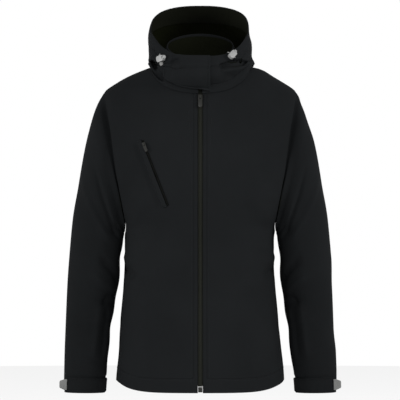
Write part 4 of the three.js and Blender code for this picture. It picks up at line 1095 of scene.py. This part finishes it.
def seam_tapes():
    """Narrow tapes inside the seams at the front zip and the shoulders, so that no light comes through."""
    # the front zip's backing is in the darker tape, painted shade behind the zip
    tapes = {"front_zip_backing": shell(
        "front_zip_backing", front_point, front_normal, np.linspace(-9, 9, 9), places(22, 694, 90),
        outside=-1.95, inside=2.5, materials=(TAPE_PAINTED_SHADE, TAPE_PAINTED_SHADE), dip=0, slot="zip")}
    row = np.linspace(NECK_SIDE - 8, SHOULDER_HEIGHT, 30)
    columns = []
    for back, s in ((False, 0.985), (False, 1), (True, 1), (True, 0.985)):
        p = panel_point(s + 0 * row, row, back)
        p = p - torso_normal(p) * 2.1
        columns.append(np.concatenate([p, p[-1:] + 3 * unit(p[-1:] - p[-3:-2])]))
    grid = np.stack(columns)
    for side, sign in SIDES:
        name = f"shoulder_tape_{side}"
        tapes[name] = shell(
            name, lambda u, v: grid[np.rint(v).astype(int), np.rint(u).astype(int)],
            lambda u, v: xyz(0 * u, 0 * u, 1), np.arange(31), np.arange(4), outside=0.2, inside=0.8, dip=0,
            mirror=sign < 0, materials=(SHELL, SHELL))
    return tapes


# The front zip's coil leaves room for its slider between these heights
SLIDER_LOW, SLIDER_HIGH = 606, 630
# Pitch, half width and height of each coil's ribs, in mm
ZIP_RIBS, POCKET_RIBS = (1.5, 3.7, 1.25), (1.2, 1.3, 0.8)


def front_zip():
    tape = shell("front_zip_tape", front_point, front_normal, np.linspace(-4.9, 4.9, 13),
                 places(20.5, 696, 150),
                 node="front_zip", outside=-0.9, inside=1.9, materials=(TAPE, TAPE), dip=0, slot="zip")
    h = np.linspace(21.5, 695, 400)
    n = front_normal(0 * h, h)
    p = front_point(0 * h, h) - n * 0.9
    below, above = h < SLIDER_LOW, h > SLIDER_HIGH
    coil("front_zip_coil", p[below], n[below], *ZIP_RIBS, COIL)
    coil("front_zip_coil_top", p[above], n[above], *ZIP_RIBS, COIL)
    return tape


def pocket_coil():
    """The pocket's coil, from its slider down, in the darker coil that carries the welt's shadow as painted
    shade.
    """
    p = np.linspace(0.03, 0.975, 120)
    p = p[p > 0.13]
    q = np.full_like(p, (POCKET_ZIP_FROM + POCKET_ZIP_TO) / 2)
    n = pocket_normal(q, p)
    points = pocket_point(q, p) + n * (POCKET_LIFT + POCKET_ZIP)
    coil("chest_pocket_coil", points * [-1, 1, 1], n * [-1, 1, 1], *POCKET_RIBS, POCKET_COIL_PAINTED_SHADE)


# Each hard node: what its finer piece is called, its material and slot, the bevel of its edges in mm and
# the bevel's segments
HARDWARE = (
    ("zip_retainer", "box", METAL, "slider", 0.5, 2), ("front_zip_slider", "body", METAL, "slider", 0.4, 2),
    ("front_zip_pull", "tab", METAL, "slider", 0.3, 2),
    ("chest_pocket_slider", "body", METAL, "slider", 0.3, 2),
    ("chest_pocket_pull", "tab", METAL, "slider", 0.2, 2), ("cuff_tab_{}", "moulding", TAB, "lock", 0.7, 3),
    ("cord_lock_{}", "barrel", LOCK, "lock", 0.7, 3), ("cord_plunger_{}", "pin", LOCK, "lock", 0.4, 2),
    ("hood_cord_{}", "braid", CORD, "cord", 0, 2),
)
MOVING = ("front_zip_pull", "chest_pocket_pull", "cord_plunger_right", "cord_plunger_left")


def refine(node_name, what, mat, slot, bevel, segments):
    """A finer piece on a hard node's own form: its edges are rounded and its faces smoothed."""
    name = f"{node_name}_{what}"
    mesh = NODES[node_name].data.copy()
    mesh.name = name
    obj = link(name, mesh)
    bm = bmesh.new()
    bm.from_mesh(mesh)
    bmesh.ops.remove_doubles(bm, verts=bm.verts, dist=2e-6)
    bmesh.ops.dissolve_limit(bm, angle_limit=math.radians(2), verts=bm.verts, edges=bm.edges)
    bm.to_mesh(mesh)
    bm.free()
    mesh.materials.clear()
    mesh.materials.append(mat)
    mesh.polygons.foreach_set("use_smooth", [True] * len(mesh.polygons))
    if bevel:
        mod = obj.modifiers.new("bevel", "BEVEL")
        mod.width = bevel / 1000
        mod.segments = segments
        mod.limit_method = "ANGLE"
        mod.angle_limit = math.radians(35)
        mod.use_clamp_overlap = True
        mod.harden_normals = True
    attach(obj, node_name if node_name in MOVING else "jacket")
    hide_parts(node_name)


def each_side(name):
    """A name, or the two names that it stands for."""
    return [(name.format(side), side) for side, _ in SIDES] if "{}" in name else [(name, "")]


def hardware():
    for name, *how in HARDWARE:
        for node_name, _ in each_side(name):
            refine(node_name, *how)


# ---------------------------------------------------------------- stage, light and camera
LEFT_POWER, RIGHT_POWER, BEAM_POWER = 86, 112, 350
FLOOR_RADIUS, FLOOR_HEIGHT, FLOOR_SIDES = 6, -0.95, 96
# The camera's distance, height and place across, and the width it takes in at the jacket, in metres
CAMERA_AWAY, CAMERA_HEIGHT, CAMERA_X, VIEW_WIDTH = 6.0, -0.256, -0.0006, 0.84
SENSOR = 36.0


def light(kind, name, place, target, size, power):
    data = bpy.data.lights.new(name, kind)
    data.energy = power
    if kind == "AREA":
        data.shape, data.size = "DISK", size
    else:
        data.shadow_soft_size = size
    obj = link(name, data)
    obj.location = place
    obj.rotation_euler = (Vector(target) - Vector(place)).to_track_quat("-Z", "Y").to_euler()
    return obj


def stage():
    """A plain pale floor in a white studio."""
    mesh = bpy.data.meshes.new("floor")
    turns = [2 * math.pi * k / FLOOR_SIDES for k in range(FLOOR_SIDES)]
    verts = [(FLOOR_RADIUS * math.cos(turn), FLOOR_RADIUS * math.sin(turn), FLOOR_HEIGHT) for turn in turns]
    mesh.from_pydata(verts, [], [tuple(range(FLOOR_SIDES))])
    floor = link("floor", mesh)
    pale, tree, bsdf = material("pale_floor", "ShaderNodeBsdfDiffuse")
    feed(tree, bsdf, {"Color": (0.86, 0.86, 0.86, 1)})
    mesh.materials.append(pale)

    world = bpy.data.worlds.new("studio")
    bpy.context.scene.world = world
    world.use_nodes = True
    feed(world.node_tree, world.node_tree.nodes["Background"], {0: (1, 1, 1, 1), 1: 1.0})

    light("AREA", "left_softbox", (-3.5, -1.35, 0.0), (0, 0, -0.25), 1.2, LEFT_POWER)
    light("AREA", "right_softbox", (3.5, -1.35, 1.1), (0, 0, -0.25), 1.2, RIGHT_POWER)
    # a soft upright beam from the front lifts the body, and its edge falls on the sleeves
    beam = light("SPOT", "front_beam", (0, -4.4, 1.2), (0, -0.1, -0.34), 0.12, BEAM_POWER)
    beam.data.spot_size = 0.23
    beam.data.spot_blend = 0.45
    beam.scale = (0.38, 1, 1)


def camera():
    data = bpy.data.cameras.new("camera")
    data.sensor_width = SENSOR
    data.lens = SENSOR * CAMERA_AWAY / VIEW_WIDTH
    data.clip_end = 60
    cam = link("camera", data)
    cam.location = (CAMERA_X, -CAMERA_AWAY, CAMERA_HEIGHT)
    cam.rotation_euler = (math.radians(90), 0, 0)
    bpy.context.scene.camera = cam


camera()
stage()
bpy.context.scene.view_settings.view_transform = "Standard"
PIECES = {**cloth_pieces(), **sleeves(), **hood_pieces(), **pocket_pieces(), **cuff_straps(),
          "front_zip": front_zip(), **seam_tapes()}
pocket_coil()
sew()
hardware()

# The cut of each cloth piece: width and length in metres, area in square metres, how it is held and what it
# is sewn to
CUTS = (
    ("front_{}", 0.24, 0.70, 0.128, "draped", "back"),
    ("side_{}", 0.11, 0.34, 0.031, "hung", "front_{}"),
    ("back", 0.48, 0.68, 0.262, "draped", "front_right"),
    ("sleeve_{}", 0.46, 0.62, 0.17, "hung", "front_{}"),
    ("collar", 0.42, 0.07, 0.024, "draped", "back"),
    ("hood_side_{}", 0.30, 0.24, 0.036, "draped", "collar"),
    ("hood_centre", 0.16, 0.36, 0.052, "draped", "collar"),
    ("hood_chin_flap", 0.10, 0.08, 0.0055, "laid", "hood_side_right"),
    ("chest_pocket_welt", 0.011, 0.150, 0.0015, "laid", "front_right"),
    ("chest_pocket_zip", 0.010, 0.145, 0.00062, "laid", "front_right"),
    ("front_zip", 0.010, 0.68, 0.0066, "hung", "front_right"),
    ("front_zip_backing", 0.018, 0.70, 0.0126, "hung", "front_right"),
    ("shoulder_tape_{}", 0.020, 0.136, 0.0027, "laid", "back"),
    ("cuff_strap_{}", 0.15, 0.031, 0.0046, "laid", "sleeve_{}"),
)
for cut, width, length, area, held, sewn_to in CUTS:
    for piece, side in each_side(cut):
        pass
